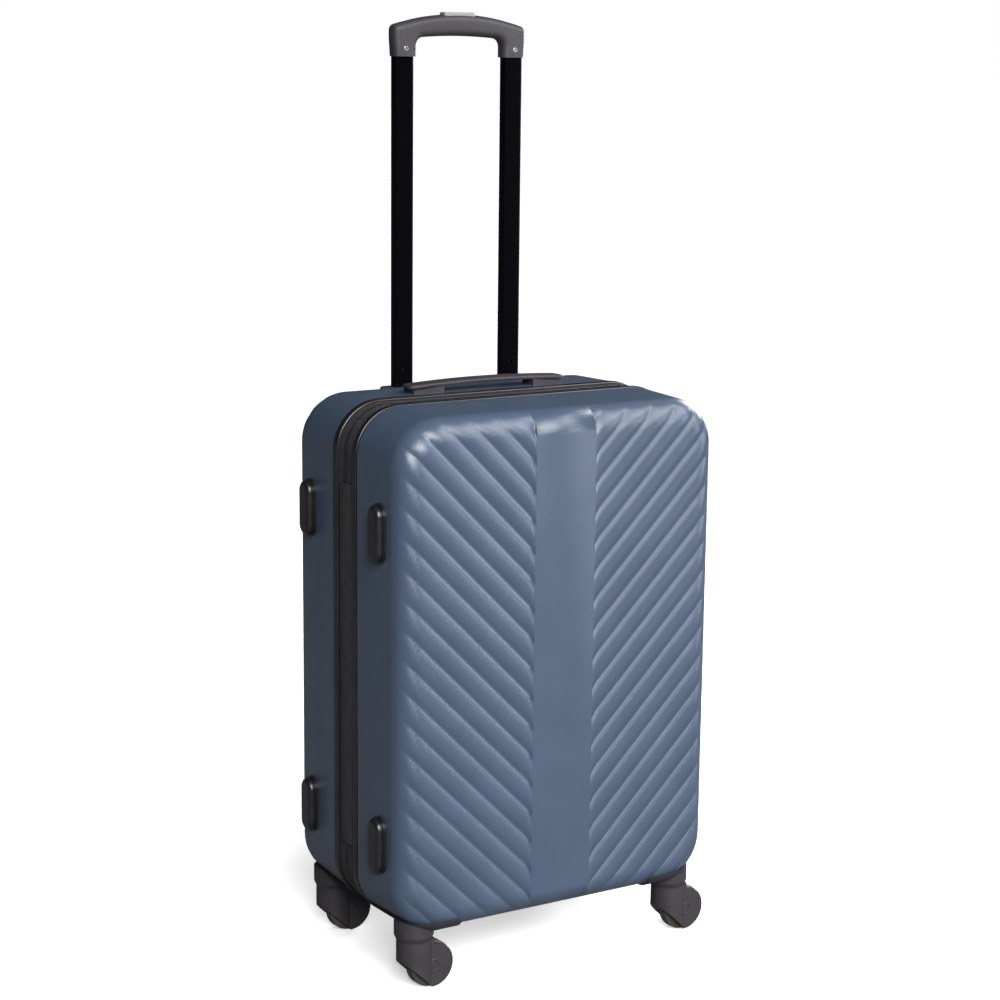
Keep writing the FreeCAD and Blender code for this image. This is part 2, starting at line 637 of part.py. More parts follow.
def make_grip_halves(screws):
    """The grip hollowed for its tubes, crossbar and button, and parted along its middle."""
    reach = TUBE_X + ROD_RADIUS + SLIDE_CLEARANCE
    cavity = box(-reach, reach, TUBE_Y - ROD_RADIUS - SLIDE_CLEARANCE, TUBE_Y + ROD_RADIUS + SLIDE_CLEARANCE,
                 GRIP_CAVITY_LOW, GRIP_CAVITY_HIGH)
    recess = box(-BUTTON_HALF_LENGTH - SLIDE_CLEARANCE, BUTTON_HALF_LENGTH + SLIDE_CLEARANCE,
                 TUBE_Y - BUTTON_HALF_WIDTH - SLIDE_CLEARANCE, TUBE_Y + BUTTON_HALF_WIDTH + SLIDE_CLEARANCE,
                 BUTTON_BOTTOM - BUTTON_TRAVEL - SLIDE_CLEARANCE, GRIP_CROWN_Z + BEYOND)
    room = BUTTON_STEM + SLIDE_CLEARANCE
    shaft = box(-room, room, TUBE_Y - room, TUBE_Y + room, GRIP_CAVITY_LOW, BUTTON_BOTTOM)
    tools = [cavity, recess, shaft] + screws
    for side in (-1, 1):
        tools.append(tube_block(side, INNER_TUBE_WIDTH, INNER_TUBE_DEPTH, GRIP_BOTTOM, GRIP_ARCH_MID_Z))
        tools.append(cylinder(ROD_RADIUS + SLIDE_CLEARANCE, GRIP_CAVITY_HIGH - GRIP_ARCH_MID_Z,
                              Vector(side * TUBE_X, TUBE_Y, GRIP_ARCH_MID_Z), Z_AXIS))
    hollow = cut(make_grip(), *tools)
    far = GRIP_HALF_WIDTH + BEYOND
    front_side = box(-far, far, TUBE_Y - BEYOND, TUBE_Y, GRIP_BOTTOM - 1, GRIP_CROWN_Z + BEYOND)
    return solids_only(hollow.common(front_side)), solids_only(cut(hollow, front_side))


def make_grip_screws():
    screws = []
    for side in (-1, 1):
        base = Vector(side * TUBE_X, TUBE_Y - GRIP_DEPTH / 2, GRIP_BOTTOM + GRIP_SCREW_RISE)
        screws.append(cylinder(GRIP_SCREW_RADIUS, GRIP_SCREW_DEPTH, base, Y_AXIS))
    return screws


def make_button():
    half_y = BUTTON_HALF_WIDTH
    cap = soft_box(-BUTTON_HALF_LENGTH, BUTTON_HALF_LENGTH, TUBE_Y - half_y, TUBE_Y + half_y,
                   BUTTON_BOTTOM, BUTTON_TOP, BUTTON_CORNER, Z_AXIS)
    cap = cap.makeFillet(BUTTON_ROUND, edges_at(cap, "z", BUTTON_TOP))
    stem = box(-BUTTON_STEM, BUTTON_STEM, TUBE_Y - BUTTON_STEM, TUBE_Y + BUTTON_STEM,
               CROSSBAR_LOW + CROSSBAR_HEIGHT, BUTTON_BOTTOM + 1)
    return fuse(cap, stem)


def make_push_rods():
    """The crossbar under the button, with a rod down each tube to just above the lock pins."""
    top = CROSSBAR_LOW + CROSSBAR_HEIGHT
    bar = box(-TUBE_X, TUBE_X, TUBE_Y - ROD_RADIUS, TUBE_Y + ROD_RADIUS, CROSSBAR_LOW, top)
    low = GUIDE_BOTTOM + GUIDE_HEIGHT + BUTTON_TRAVEL + ROD_CLEARANCE
    rods = [cylinder(ROD_RADIUS, top - low, Vector(side * TUBE_X, TUBE_Y, low), Z_AXIS) for side in (-1, 1)]
    return fuse(bar, *rods)


def make_button_spring():
    """The short return spring between the floor of the grip and the crossbar, as the sleeve that it fills."""
    height = CROSSBAR_LOW - GRIP_CAVITY_LOW - SPRING_CLEARANCE
    base = Vector(0, TUBE_Y, GRIP_CAVITY_LOW)
    sleeve = cylinder(ROD_RADIUS, height, base, Z_AXIS)
    return cut(sleeve, cylinder(ROD_RADIUS - SPRING_WIRE, height, base, Z_AXIS))


def tube_windows():
    """The holes in the top of the rear shell that the outer tubes stand in."""
    top = SHELL_TOP + BEYOND
    return [tube_block(side, OUTER_TUBE_WIDTH, OUTER_TUBE_DEPTH, BRACKET_LOW, top) for side in (-1, 1)]


def make_top_plate():
    """The bezel that the tubes come out of, fitted over the rounded top edge of the rear shell."""
    half = TOP_PLATE_WIDTH / 2
    plate = soft_box(-TOP_PLATE_HALF_LENGTH, TOP_PLATE_HALF_LENGTH, TUBE_Y - half, TUBE_Y + half,
                     TOP_PLATE_FOOT, TOP_PLATE_TOP, half - 0.05, Z_AXIS)
    plate = plate.makeFillet(TOP_PLATE_ROUND, edges_at(plate, "z", TOP_PLATE_TOP))
    shell_body = cut(outside_of(1), *tube_windows())
    passages = []
    for side in (-1, 1):
        passages.append(tube_block(side, INNER_TUBE_WIDTH + 2 * SLIDE_CLEARANCE,
                                   INNER_TUBE_DEPTH + 2 * SLIDE_CLEARANCE,
                                   TOP_PLATE_FOOT - 1, SHELL_TOP + BEYOND))
    return solids_only(cut(plate, shell_body, *passages))


def make_bracket():
    """The shelf on the rear wall that holds the lower ends of both outer tubes."""
    reach = TUBE_X + OUTER_TUBE_WIDTH / 2 + BRACKET_MARGIN
    top = BRACKET_LOW + BRACKET_HEIGHT
    shelf = box(-reach, reach, TUBE_Y - OUTER_TUBE_DEPTH / 2 - BRACKET_WALL, HALF_DEPTH - SHELL_WALL,
                BRACKET_LOW, top)
    pockets = []
    for side in (-1, 1):
        pockets.append(tube_block(side, OUTER_TUBE_WIDTH, OUTER_TUBE_DEPTH, top - BRACKET_POCKET, top + 1))
    return cut(shelf, *pockets)


# ---------------------------------------------------------------- carry handles, made lying along +X on z = 0
HANDLE_MID_Y = HANDLE_Y_LOW + HANDLE_WIDTH / 2


def make_carry_grip():
    """An arched bar with a leg near each end."""
    y0 = HANDLE_Y_LOW

    def arc(lift):
        return Part.Arc(Vector(-HANDLE_HALF_LENGTH, y0, HANDLE_END_RISE + lift),
                        Vector(0, y0, HANDLE_CROWN_RISE + lift),
                        Vector(HANDLE_HALF_LENGTH, y0, HANDLE_END_RISE + lift)).toShape()

    def end(side):
        top = Vector(side * HANDLE_HALF_LENGTH, y0, HANDLE_END_RISE)
        return Part.LineSegment(top, top - Vector(0, 0, HANDLE_THICKNESS)).toShape()

    section = Part.Face(Part.Wire([arc(0), end(1), arc(-HANDLE_THICKNESS), end(-1)]))
    bar = section.extrude(Vector(0, HANDLE_WIDTH, 0))
    legs = [leg_space(side, 0.0, HANDLE_END_RISE - HANDLE_THICKNESS / 2) for side in (-1, 1)]
    return fuse(bar, *legs)


def leg_space(side, grow, top):
    """The space of one leg, grown all round, up to a height."""
    x = side * HANDLE_LEG_X
    half_x = HANDLE_LEG / 2 + grow
    half_y = HANDLE_LEG_DEPTH / 2 + grow
    return box(x - half_x, x + half_x, HANDLE_MID_Y - half_y, HANDLE_MID_Y + half_y,
               -HANDLE_LEG_SUNK - grow, top)


POCKET_GROW = SLIDE_CLEARANCE + HANDLE_POCKET_WALL


def make_handle_base(side, place):
    """A wedge under the bar with a pocket that the leg slides in, seated on the shell."""
    inner = HANDLE_BASE_OUTER - HANDLE_BASE_LENGTH
    foot = -DRAFT
    corners = [(inner, foot), (HANDLE_BASE_OUTER, foot), (HANDLE_BASE_OUTER, HANDLE_BASE_OUTER_RISE),
               (inner, HANDLE_BASE_INNER_RISE), (inner, foot)]
    wedge = Part.Face(Part.makePolygon([Vector(side * x, HANDLE_Y_LOW, z) for x, z in corners]))
    wedge = place(wedge.extrude(Vector(0, HANDLE_WIDTH, 0)))
    pocket = place(leg_space(side, POCKET_GROW, HANDLE_FLANGE))
    room = place(leg_space(side, SLIDE_CLEARANCE, BEYOND))
    return solids_only(cut(fuse(cut(wedge, outside_of(1)), pocket), room))


def to_top(shape):
    placed = shape.copy()
    placed.translate(Vector(0, 0, SHELL_TOP))
    return placed


def to_side(shape):
    """Turns a handle's up direction to +X and its length to the vertical, on the side away from the hinge."""
    placed = shape.copy()
    placed.rotate(Vector(0, 0, 0), Y_AXIS, 90)
    placed.translate(Vector(HALF_WIDTH, 0, SIDE_HANDLE_Z))
    return placed


# ---------------------------------------------------------------- combination lock and zip sliders
def lock_block(grow):
    x1 = HALF_WIDTH + LOCK_PROUD
    half_z = LOCK_LENGTH / 2 + grow
    return soft_box(x1 - LOCK_DEPTH - grow, x1, LOCK_Y_LOW - grow, LOCK_Y_LOW + LOCK_WIDTH + grow,
                    LOCK_Z - half_z, LOCK_Z + half_z, LOCK_CORNER, X_AXIS)


LOCK_MID_Y = LOCK_Y_LOW + LOCK_WIDTH / 2
DIAL_X = HALF_WIDTH + LOCK_PROUD - DIAL_SUNK
DIAL_LOW_Z = LOCK_Z - LOCK_LENGTH / 2 + DIAL_MARGIN
RELEASE_Z = LOCK_Z + LOCK_LENGTH / 2 - RELEASE_MARGIN


def dial_z(index):
    return DIAL_LOW_Z + index * DIAL_PITCH


def make_lock_body():
    block = lock_block(0.0)
    block = block.makeFillet(LOCK_ROUND, edges_at(block, "x", HALF_WIDTH + LOCK_PROUD))
    room = DIAL_RADIUS + DIAL_ROOM
    slots = []
    for index in range(DIAL_COUNT):
        half = DIAL_THICKNESS / 2 + SLIDE_CLEARANCE
        slots.append(box(DIAL_X - room, DIAL_X + BEYOND, LOCK_MID_Y - room, LOCK_MID_Y + room,
                         dial_z(index) - half, dial_z(index) + half))
    half_y = RELEASE_WIDTH / 2 + SLIDE_CLEARANCE
    half_z = RELEASE_LENGTH / 2 + SLIDE_CLEARANCE
    face = HALF_WIDTH + LOCK_PROUD
    pocket_floor = face + RELEASE_PROUD - RELEASE_DEPTH - RELEASE_TRAVEL - SLIDE_CLEARANCE
    slots.append(box(pocket_floor, face + BEYOND, LOCK_MID_Y - half_y, LOCK_MID_Y + half_y,
                     RELEASE_Z - half_z, RELEASE_Z + half_z))
    spindle_low = dial_z(0) - DIAL_PITCH / 2
    spindle_foot = Vector(DIAL_X, LOCK_MID_Y, spindle_low)
    spindle = cylinder(DIAL_AXLE_RADIUS, DIAL_COUNT * DIAL_PITCH, spindle_foot, Z_AXIS)
    return fuse(cut(block, *slots), spindle)


def make_dial(index):
    low = Vector(DIAL_X, LOCK_MID_Y, dial_z(index) - DIAL_THICKNESS / 2)
    wheel = cylinder(DIAL_RADIUS, DIAL_THICKNESS, low, Z_AXIS)
    wheel = wheel.makeChamfer(DIAL_CHAMFER, wheel.Edges[:1] + wheel.Edges[2:3])
    return cut(wheel, cylinder(DIAL_AXLE_RADIUS + RUNNING_CLEARANCE, DIAL_THICKNESS, low, Z_AXIS))


def make_release():
    x1 = HALF_WIDTH + LOCK_PROUD + RELEASE_PROUD
    block = soft_box(x1 - RELEASE_DEPTH, x1, LOCK_MID_Y - RELEASE_WIDTH / 2, LOCK_MID_Y + RELEASE_WIDTH / 2,
                     RELEASE_Z - RELEASE_LENGTH / 2, RELEASE_Z + RELEASE_LENGTH / 2, RELEASE_CORNER, X_AXIS)
    return block.makeFillet(RELEASE_ROUND, edges_at(block, "x", x1))


SLIDER_X = HALF_WIDTH - SHELL_WALL + BEAD_PROUD + SLIDE_CLEARANCE
PULL_PIN_X = SLIDER_X + SLIDER_THICKNESS + PULL_EYE_RADIUS + PULL_CLEARANCE


def make_slider(z):
    """The outer half of a zip slider: a plate over both rows of teeth, with two lugs and a cross pin."""
    y0 = ZIP_Y - SLIDER_WIDTH / 2
    face = SLIDER_X + SLIDER_THICKNESS
    plate = soft_box(SLIDER_X, face, y0, y0 + SLIDER_WIDTH, z - SLIDER_LENGTH / 2,
                     z + SLIDER_LENGTH / 2, SLIDER_CORNER, X_AXIS)
    lugs = []
    for y in (y0 + LUG_INSET, y0 + SLIDER_WIDTH - LUG_INSET - LUG_THICKNESS):
        lugs.append(box(face - LUG_THICKNESS, face + LUG_HEIGHT, y, y + LUG_THICKNESS,
                        z - LUG_HALF_LENGTH, z + LUG_HALF_LENGTH))
    pin_foot = Vector(PULL_PIN_X, y0 + LUG_INSET, z)
    pin = cylinder(PULL_PIN_RADIUS, SLIDER_WIDTH - 2 * LUG_INSET, pin_foot, Y_AXIS)
    return fuse(plate, pin, *lugs)


def make_pull(z):
    """A zip pull that hangs from the cross pin of its slider."""
    half = SLIDER_WIDTH / 2 - LUG_INSET - LUG_THICKNESS - SLIDE_CLEARANCE
    start = Vector(PULL_PIN_X, ZIP_Y - half, z)
    eye = cylinder(PULL_EYE_RADIUS, 2 * half, start, Y_AXIS)
    thick = PULL_THICKNESS / 2
    tab = soft_box(PULL_PIN_X - thick, PULL_PIN_X + thick, ZIP_Y - half, ZIP_Y + half,
                   z - PULL_LENGTH, z, PULL_CORNER, X_AXIS)
    bore = cylinder(PULL_PIN_RADIUS + RUNNING_CLEARANCE, 2 * half, start, Y_AXIS)
    return cut(fuse(eye, tab), bore)


# ---------------------------------------------------------------- inside straps
STRAP_Y = LINING_FLOOR_Y - LINING_WALL - LINING_GAP
STRAP_REACH = HALF_WIDTH - SHELL_WALL - LINING_GAP - LINING_WALL - LINING_RADIUS


def make_straps():
    """Two packing straps lying flat on the floor of the rear half, parted at the buckle."""
    bands = []
    for z in STRAP_Z:
        for side in (-1, 1):
            ends = sorted((side * (BUCKLE_LENGTH / 2 + SLIDE_CLEARANCE), side * STRAP_REACH))
            bands.append(box(ends[0], ends[1], STRAP_Y - STRAP_THICKNESS, STRAP_Y,
                             z - STRAP_WIDTH / 2, z + STRAP_WIDTH / 2))
    return group(bands)


def make_buckles():
    buckles = []
    for z in STRAP_Z:
        body = soft_box(-BUCKLE_LENGTH / 2, BUCKLE_LENGTH / 2, STRAP_Y - BUCKLE_THICKNESS, STRAP_Y,
                        z - BUCKLE_WIDTH / 2, z + BUCKLE_WIDTH / 2, BUCKLE_CORNER, Y_AXIS)
        buckles.append(body.makeFillet(BUCKLE_ROUND, edges_at(body, "y", STRAP_Y - BUCKLE_THICKNESS)))
    return group(buckles)


# ---------------------------------------------------------------- build every piece
os.makedirs("parts", exist_ok=True)

rear_screws = []
front_screws = []
for side_y, screws, half_name in ((1, rear_screws, "rear"), (-1, front_screws, "front")):
    for side_x, side_name in ((-1, "left"), (1, "right")):
        own = housing_screws(side_x, side_y)
        screws.extend(own)
        save(make_housing(side_x, side_y, own), "caster_housing_" + half_name + "_" + side_name)
    feet = []
    for foot_z in (FOOT_Z_LOW, FOOT_Z_HIGH):
        screw = foot_screw(side_y, foot_z)
        screws.append(screw)
        feet.append(cut(make_foot(side_y, foot_z), screw))
    save(group(feet), half_name + "_side_feet")
    save(group(screws), half_name + "_fasteners")

leg_pockets = []
lining_cuts = [lock_block(LINING_GAP)]
for place in (to_top, to_side):
    for side in (-1, 1):
        leg_pockets.append(place(leg_space(side, POCKET_GROW, BEYOND)))
        lining_cuts.append(place(leg_space(side, POCKET_GROW + LINING_GAP, BEYOND)))
rear_wall = cut(outside_of(1), inside_of(1))
rear_wall = cut(rear_wall, *tube_windows(), *leg_pockets, lock_block(0.0), *rear_screws)
save(solids_only(rear_wall), "rear_shell")
front_wall = cut(outside_of(-1), inside_of(-1), *front_screws)
save(solids_only(front_wall), "front_shell")

save(solids_only(cut(make_lining(1, LINING_FLOOR_Y, LINING_RADIUS), *lining_cuts)), "rear_lining")
front_floor = -HALF_DEPTH + SHELL_WALL + LINING_GAP
save(make_lining(-1, front_floor, FACE_RADIUS - SHELL_WALL - LINING_GAP), "front_lining")

save(make_piping(REAR_RIM_Y - REAR_PIPING_WIDTH, REAR_RIM_Y), "rear_piping")
save(make_piping(FRONT_RIM_Y, FRONT_RIM_Y + FRONT_PIPING_WIDTH), "front_piping")
save(make_stringer(REAR_RIM_Y - REAR_PIPING_WIDTH, 1), "rear_zip_stringer")
save(make_stringer(FRONT_RIM_Y + FRONT_PIPING_WIDTH, -1), "front_zip_stringer")
save(make_gusset(), "hinge_gusset")

for side_x, side_name in ((-1, "left"), (1, "right")):
    save(make_outer_tube(side_x), "outer_tube_" + side_name)
    save(make_inner_tube(side_x), "inner_tube_" + side_name)
    save(make_lock_pin(side_x), "lock_pin_" + side_name)
save(group([make_guide(-1), make_guide(1)]), "tube_end_guides")
save(make_top_plate(), "trolley_top_plate")
save(make_bracket(), "trolley_base_bracket")

grip_screws = make_grip_screws()
grip_front, grip_rear = make_grip_halves(grip_screws)
save(grip_front, "grip_front_half")
save(grip_rear, "grip_rear_half")
save(group(grip_screws), "grip_screws")
save(make_button(), "release_button")
save(make_push_rods(), "push_rods")
save(make_button_spring(), "button_spring")

for place_name, place in (("top", to_top), ("side", to_side)):
    save(place(make_carry_grip()), place_name + "_handle_grip")
    save(group([make_handle_base(side, place) for side in (-1, 1)]), place_name + "_handle_bases")

save(make_lock_body(), "lock_body")
for index in range(DIAL_COUNT):
    save(make_dial(index), "lock_dial_" + str(index + 1))
save(make_release(), "lock_release")
for place, side in (("upper", 1), ("lower", -1)):
    slider_z = LOCK_Z + side * SLIDER_SPACING / 2
    save(make_slider(slider_z), "zip_slider_" + place)
    save(make_pull(slider_z), "zip_pull_" + place)

save(make_straps(), "packing_straps")
save(make_buckles(), "strap_buckles")

fork = make_fork()
axle = make_axle()
wheel = make_wheel()
for half_name, side_y in (("front", -1), ("rear", 1)):
    for side_name, side_x in (("left", -1), ("right", 1)):
        corner = "_" + half_name + "_" + side_name
        save(place_caster(fork, caster_axis(side_x, side_y)), "fork" + corner)
        save(place_caster(axle, caster_axis(side_x, side_y)), "axle" + corner)
        save(place_caster(wheel, caster_axis(side_x, side_y)), "wheel" + corner)
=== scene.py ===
# %% [markdown]
# # A hard shell suitcase on four swivel wheels
#
# The suitcase is two thin moulded trays that meet at a zip.  One tray carries the wheels, the pull
# handle and the lock, and the other is the ribbed lid.  The mechanical parts arrive as finished
# solids, so this lesson does what is left: it gives each part a believable finish, and it makes the
# pieces that solids show badly, such as the pressed ribs, the zip teeth and the cloth inside.

import math

import bmesh
import bpy
from mathutils import Matrix, Vector, noise


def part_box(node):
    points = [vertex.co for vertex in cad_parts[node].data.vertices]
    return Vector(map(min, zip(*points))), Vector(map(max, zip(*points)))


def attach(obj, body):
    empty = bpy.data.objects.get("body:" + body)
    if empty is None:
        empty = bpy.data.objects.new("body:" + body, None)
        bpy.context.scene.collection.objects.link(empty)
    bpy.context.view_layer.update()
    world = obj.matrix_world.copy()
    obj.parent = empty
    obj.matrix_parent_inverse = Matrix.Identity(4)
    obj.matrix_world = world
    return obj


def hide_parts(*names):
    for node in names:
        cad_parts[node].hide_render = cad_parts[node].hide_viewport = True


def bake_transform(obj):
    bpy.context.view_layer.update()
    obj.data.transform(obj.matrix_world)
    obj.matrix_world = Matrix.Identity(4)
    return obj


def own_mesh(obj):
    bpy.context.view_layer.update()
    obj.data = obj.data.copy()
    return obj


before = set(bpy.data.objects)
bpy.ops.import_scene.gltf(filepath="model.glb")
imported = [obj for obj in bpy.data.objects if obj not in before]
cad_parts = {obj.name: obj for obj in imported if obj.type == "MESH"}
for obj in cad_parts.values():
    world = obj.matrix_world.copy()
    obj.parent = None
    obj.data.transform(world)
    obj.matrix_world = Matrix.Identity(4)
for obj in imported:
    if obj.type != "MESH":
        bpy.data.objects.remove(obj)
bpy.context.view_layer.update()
MM = 0.001
X_AXIS, Y_AXIS, Z_AXIS = Vector((1, 0, 0)), Vector((0, 1, 0)), Vector((0, 0, 1))

# %% [markdown]
# ## The camera
#
# A product picture is taken from far away with a long lens, so that upright edges stay nearly
# parallel.  The camera stands to the left of the lid, a little above the middle of the case, and
# looks slightly down.  Depth of field stays off, because every part has to be sharp.

# %% Place the camera
CAMERA_PLACE = Vector((-1.357, -2.2236, 1.0372))
CAMERA_HEADING = 32.1
CAMERA_DOWN = 11.403
CAMERA_ROLL = 0.744
CAMERA_LENS = 82.41
CAMERA_SHIFT = (-0.0322, 0.0142)

camera_data = bpy.data.cameras.new("camera")
camera = bpy.data.objects.new("camera", camera_data)
bpy.context.scene.collection.objects.link(camera)
turn = Matrix.Rotation(math.radians(-CAMERA_HEADING), 4, "Z")
tilt = Matrix.Rotation(math.radians(90 - CAMERA_DOWN), 4, "X")
roll = Matrix.Rotation(math.radians(CAMERA_ROLL), 4, "Z")
camera.matrix_world = Matrix.Translation(CAMERA_PLACE) @ turn @ tilt @ roll
camera_data.lens = CAMERA_LENS
camera_data.shift_x, camera_data.shift_y = CAMERA_SHIFT
camera_data.dof.use_dof = False
bpy.context.scene.camera = camera
print("camera right", [round(v, 4) for v in camera.matrix_world.col[0][:3]])

# %% [markdown]
# ## The studio
#
# The floor is one wide disc.  Seen directly it glows almost white, but it throws back little light,
# as if a dark cloth lay under the case, so that the lower walls keep their depth.  The surroundings
# work in the same way.  A broad sun from the front lights the ribs, three soft boxes in front fill
# in, one from above lights the top, and one behind on the right gives the back its outline.

# %% Floor, surroundings and lamps
FLOOR_RADIUS = 40.0
AMBIENT = 0.035
BACKDROP = 1.0
SUN_STRENGTH = 4.7
FLOOR_PAINT = (0.90, 0.90, 0.90, 1)
FLOOR_BOUNCE = (0.16, 0.16, 0.17, 1)
FLOOR_GLOW = 0.42
SUN_SPREAD = 45
SUN_FROM = Vector((-0.08, -0.86, 0.50))
LAMP_TARGET = (0, 0, 0.4)
WHITE = (1, 1, 1, 1)


def add_lamp(name, place, target, size, power):
    """A rectangular lamp that looks at a target."""
    lamp_data = bpy.data.lights.new(name, "AREA")
    lamp_data.shape = "RECTANGLE"
    lamp_data.size, lamp_data.size_y = size
    lamp_data.energy = power
    lamp = bpy.data.objects.new(name, lamp_data)
    bpy.context.scene.collection.objects.link(lamp)
    aim = (Vector(target) - Vector(place)).to_track_quat("-Z", "Y")
    lamp.matrix_world = Matrix.Translation(place) @ aim.to_matrix().to_4x4()


floor_bm = bmesh.new()
bmesh.ops.create_circle(floor_bm, cap_ends=True, radius=FLOOR_RADIUS, segments=96)
floor_mesh = bpy.data.meshes.new("studio_floor")
floor_bm.to_mesh(floor_mesh)
floor_bm.free()
studio_floor = bpy.data.objects.new("studio_floor", floor_mesh)
bpy.context.scene.collection.objects.link(studio_floor)

floor_paint = bpy.data.materials.new("floor_paint")
floor_paint.use_nodes = True
floor_shader = floor_paint.node_tree.nodes["Principled BSDF"]
floor_shader.inputs["Base Color"].default_value = FLOOR_PAINT
floor_shader.inputs["Roughness"].default_value = 0.9
floor_shader.inputs["Specular IOR Level"].default_value = 0.1
floor_shader.inputs["Emission Color"].default_value = WHITE
floor_shader.inputs["Emission Strength"].default_value = FLOOR_GLOW
floor_dark = floor_paint.node_tree.nodes.new("ShaderNodeBsdfDiffuse")
floor_dark.inputs["Color"].default_value = FLOOR_BOUNCE
floor_seen = floor_paint.node_tree.nodes.new("ShaderNodeLightPath")
floor_choice = floor_paint.node_tree.nodes.new("ShaderNodeMixShader")
floor_paint.node_tree.links.new(floor_seen.outputs["Is Camera Ray"], floor_choice.inputs[0])
floor_paint.node_tree.links.new(floor_dark.outputs[0], floor_choice.inputs[1])
floor_paint.node_tree.links.new(floor_shader.outputs[0], floor_choice.inputs[2])
floor_output = floor_paint.node_tree.nodes["Material Output"]
floor_paint.node_tree.links.new(floor_choice.outputs[0], floor_output.inputs["Surface"])
floor_mesh.materials.append(floor_paint)

world = bpy.data.worlds.new("studio")
bpy.context.scene.world = world
world.use_nodes = True
surroundings = world.node_tree.nodes["Background"]
surroundings.inputs["Color"].default_value = WHITE
surroundings.inputs["Strength"].default_value = AMBIENT
backdrop = world.node_tree.nodes.new("ShaderNodeBackground")
backdrop.inputs["Color"].default_value = WHITE
backdrop.inputs["Strength"].default_value = BACKDROP
seen = world.node_tree.nodes.new("ShaderNodeLightPath")
choice = world.node_tree.nodes.new("ShaderNodeMixShader")
world.node_tree.links.new(seen.outputs["Is Camera Ray"], choice.inputs[0])
world.node_tree.links.new(surroundings.outputs[0], choice.inputs[1])
world.node_tree.links.new(backdrop.outputs[0], choice.inputs[2])
world.node_tree.links.new(choice.outputs[0], world.node_tree.nodes["World Output"].inputs[0])

sun_data = bpy.data.lights.new("broad_sun", "SUN")
sun_data.energy = SUN_STRENGTH
sun_data.angle = math.radians(SUN_SPREAD)
sun = bpy.data.objects.new("broad_sun", sun_data)
bpy.context.scene.collection.objects.link(sun)
sun.rotation_euler = (-SUN_FROM).to_track_quat("-Z", "Y").to_euler()
add_lamp("softbox_left", (-0.8, -1.9, 1.9), LAMP_TARGET, (0.7, 0.7), 20)
add_lamp("softbox_right", (1.9, -1.5, 0.9), LAMP_TARGET, (0.8, 1.4), 22)
add_lamp("softbox_over", (1.3, -1.0, 2.1), (0, 0, 0.5), (0.8, 0.8), 30)
add_lamp("softbox_camera", (-1.75, -2.95, 1.95), LAMP_TARGET, (0.7, 0.7), 52)
add_lamp("softbox_back", (2.9, 1.3, 1.6), LAMP_TARGET, (1.2, 1.2), 70)
bpy.context.scene.view_settings.view_transform = "Standard"

# %% [markdown]
# ## Finishes
#
# Every finish is built from nodes, so that it has no picture file and no seams.  A finish has three
# layers: the colour with a slow drift, the roughness with its own patches, and a height that the
# Bump node turns into fine relief.  Object coordinates are in metres on every piece, so the scale of
# a grain can be given as its real size.

# %% Helpers for node finishes
def new_finish(name, colour, roughness, metallic=0.0, shine=0.5):
    """A material with its shader's plain numbers set."""
    finish = bpy.data.materials.new(name)
    finish.use_nodes = True
    shader = finish.node_tree.nodes["Principled BSDF"]
    shader.inputs["Base Color"].default_value = (*colour, 1)
    shader.inputs["Roughness"].default_value = roughness
    shader.inputs["Metallic"].default_value = metallic
    shader.inputs["Specular IOR Level"].default_value = shine
    return finish


def add_node(finish, kind, **inputs):
    """A node of one kind, with some of its inputs set by name."""
    node = finish.node_tree.nodes.new(kind)
    for name, value in inputs.items():
        node.inputs[name].default_value = value
    return node


def link(finish, start, end):
    """Joins an output to an input."""
    finish.node_tree.links.new(start, end)


def place_of(finish):
    """The piece's own coordinates, in metres."""
    return add_node(finish, "ShaderNodeTexCoord").outputs["Object"]


def noise_of(finish, size, detail=3.0):
    """Soft random patches, about as large as the size given."""
    patches = add_node(finish, "ShaderNodeTexNoise", Scale=1 / size, Detail=detail)
    link(finish, place_of(finish), patches.inputs["Vector"])
    return patches.outputs["Fac"]


def drift_colour(finish, low, high, size):
    """Lets the colour wander between two close shades."""
    ramp = add_node(finish, "ShaderNodeValToRGB")
    ramp.color_ramp.elements[0].position = 0.35
    ramp.color_ramp.elements[1].position = 0.65
    ramp.color_ramp.elements[0].color = (*low, 1)
    ramp.color_ramp.elements[1].color = (*high, 1)
    link(finish, noise_of(finish, size), ramp.inputs["Fac"])
    shader = finish.node_tree.nodes["Principled BSDF"]
    link(finish, ramp.outputs["Color"], shader.inputs["Base Color"])


def drift_roughness(finish, low, high, size):
    """Lets the gloss wander, as handling and moulding leave it."""
    spread = add_node(finish, "ShaderNodeMapRange")
    spread.inputs["To Min"].default_value = low
    spread.inputs["To Max"].default_value = high
    link(finish, noise_of(finish, size, 5.0), spread.inputs["Value"])
    shader = finish.node_tree.nodes["Principled BSDF"]
    link(finish, spread.outputs["Result"], shader.inputs["Roughness"])


def add_relief(finish, height, depth, strength=1.0):
    """Turns a height from 0 to 1 into relief of a real depth."""
    bump = add_node(finish, "ShaderNodeBump", Strength=strength, Distance=depth)
    link(finish, height, bump.inputs["Height"])
    shader = finish.node_tree.nodes["Principled BSDF"]
    link(finish, bump.outputs["Normal"], shader.inputs["Normal"])


def math_node(finish, operation, first, second=None):
    """One sum on numbers or outputs."""
    node = finish.node_tree.nodes.new("ShaderNodeMath")
    node.operation = operation
    for socket, value in zip(node.inputs, (first, second)):
        if isinstance(value, (int, float)):
            socket.default_value = value
        elif value is not None:
            link(finish, value, socket)
    return node.outputs[0]


def wave_along(finish, direction, pitch):
    """A cosine wave that repeats every pitch along a direction."""
    product = finish.node_tree.nodes.new("ShaderNodeVectorMath")
    product.operation = "DOT_PRODUCT"
    product.inputs[1].default_value = Vector(direction).normalized() * (2 * math.pi / pitch)
    link(finish, place_of(finish), product.inputs[0])
    return math_node(finish, "COSINE", product.outputs["Value"])


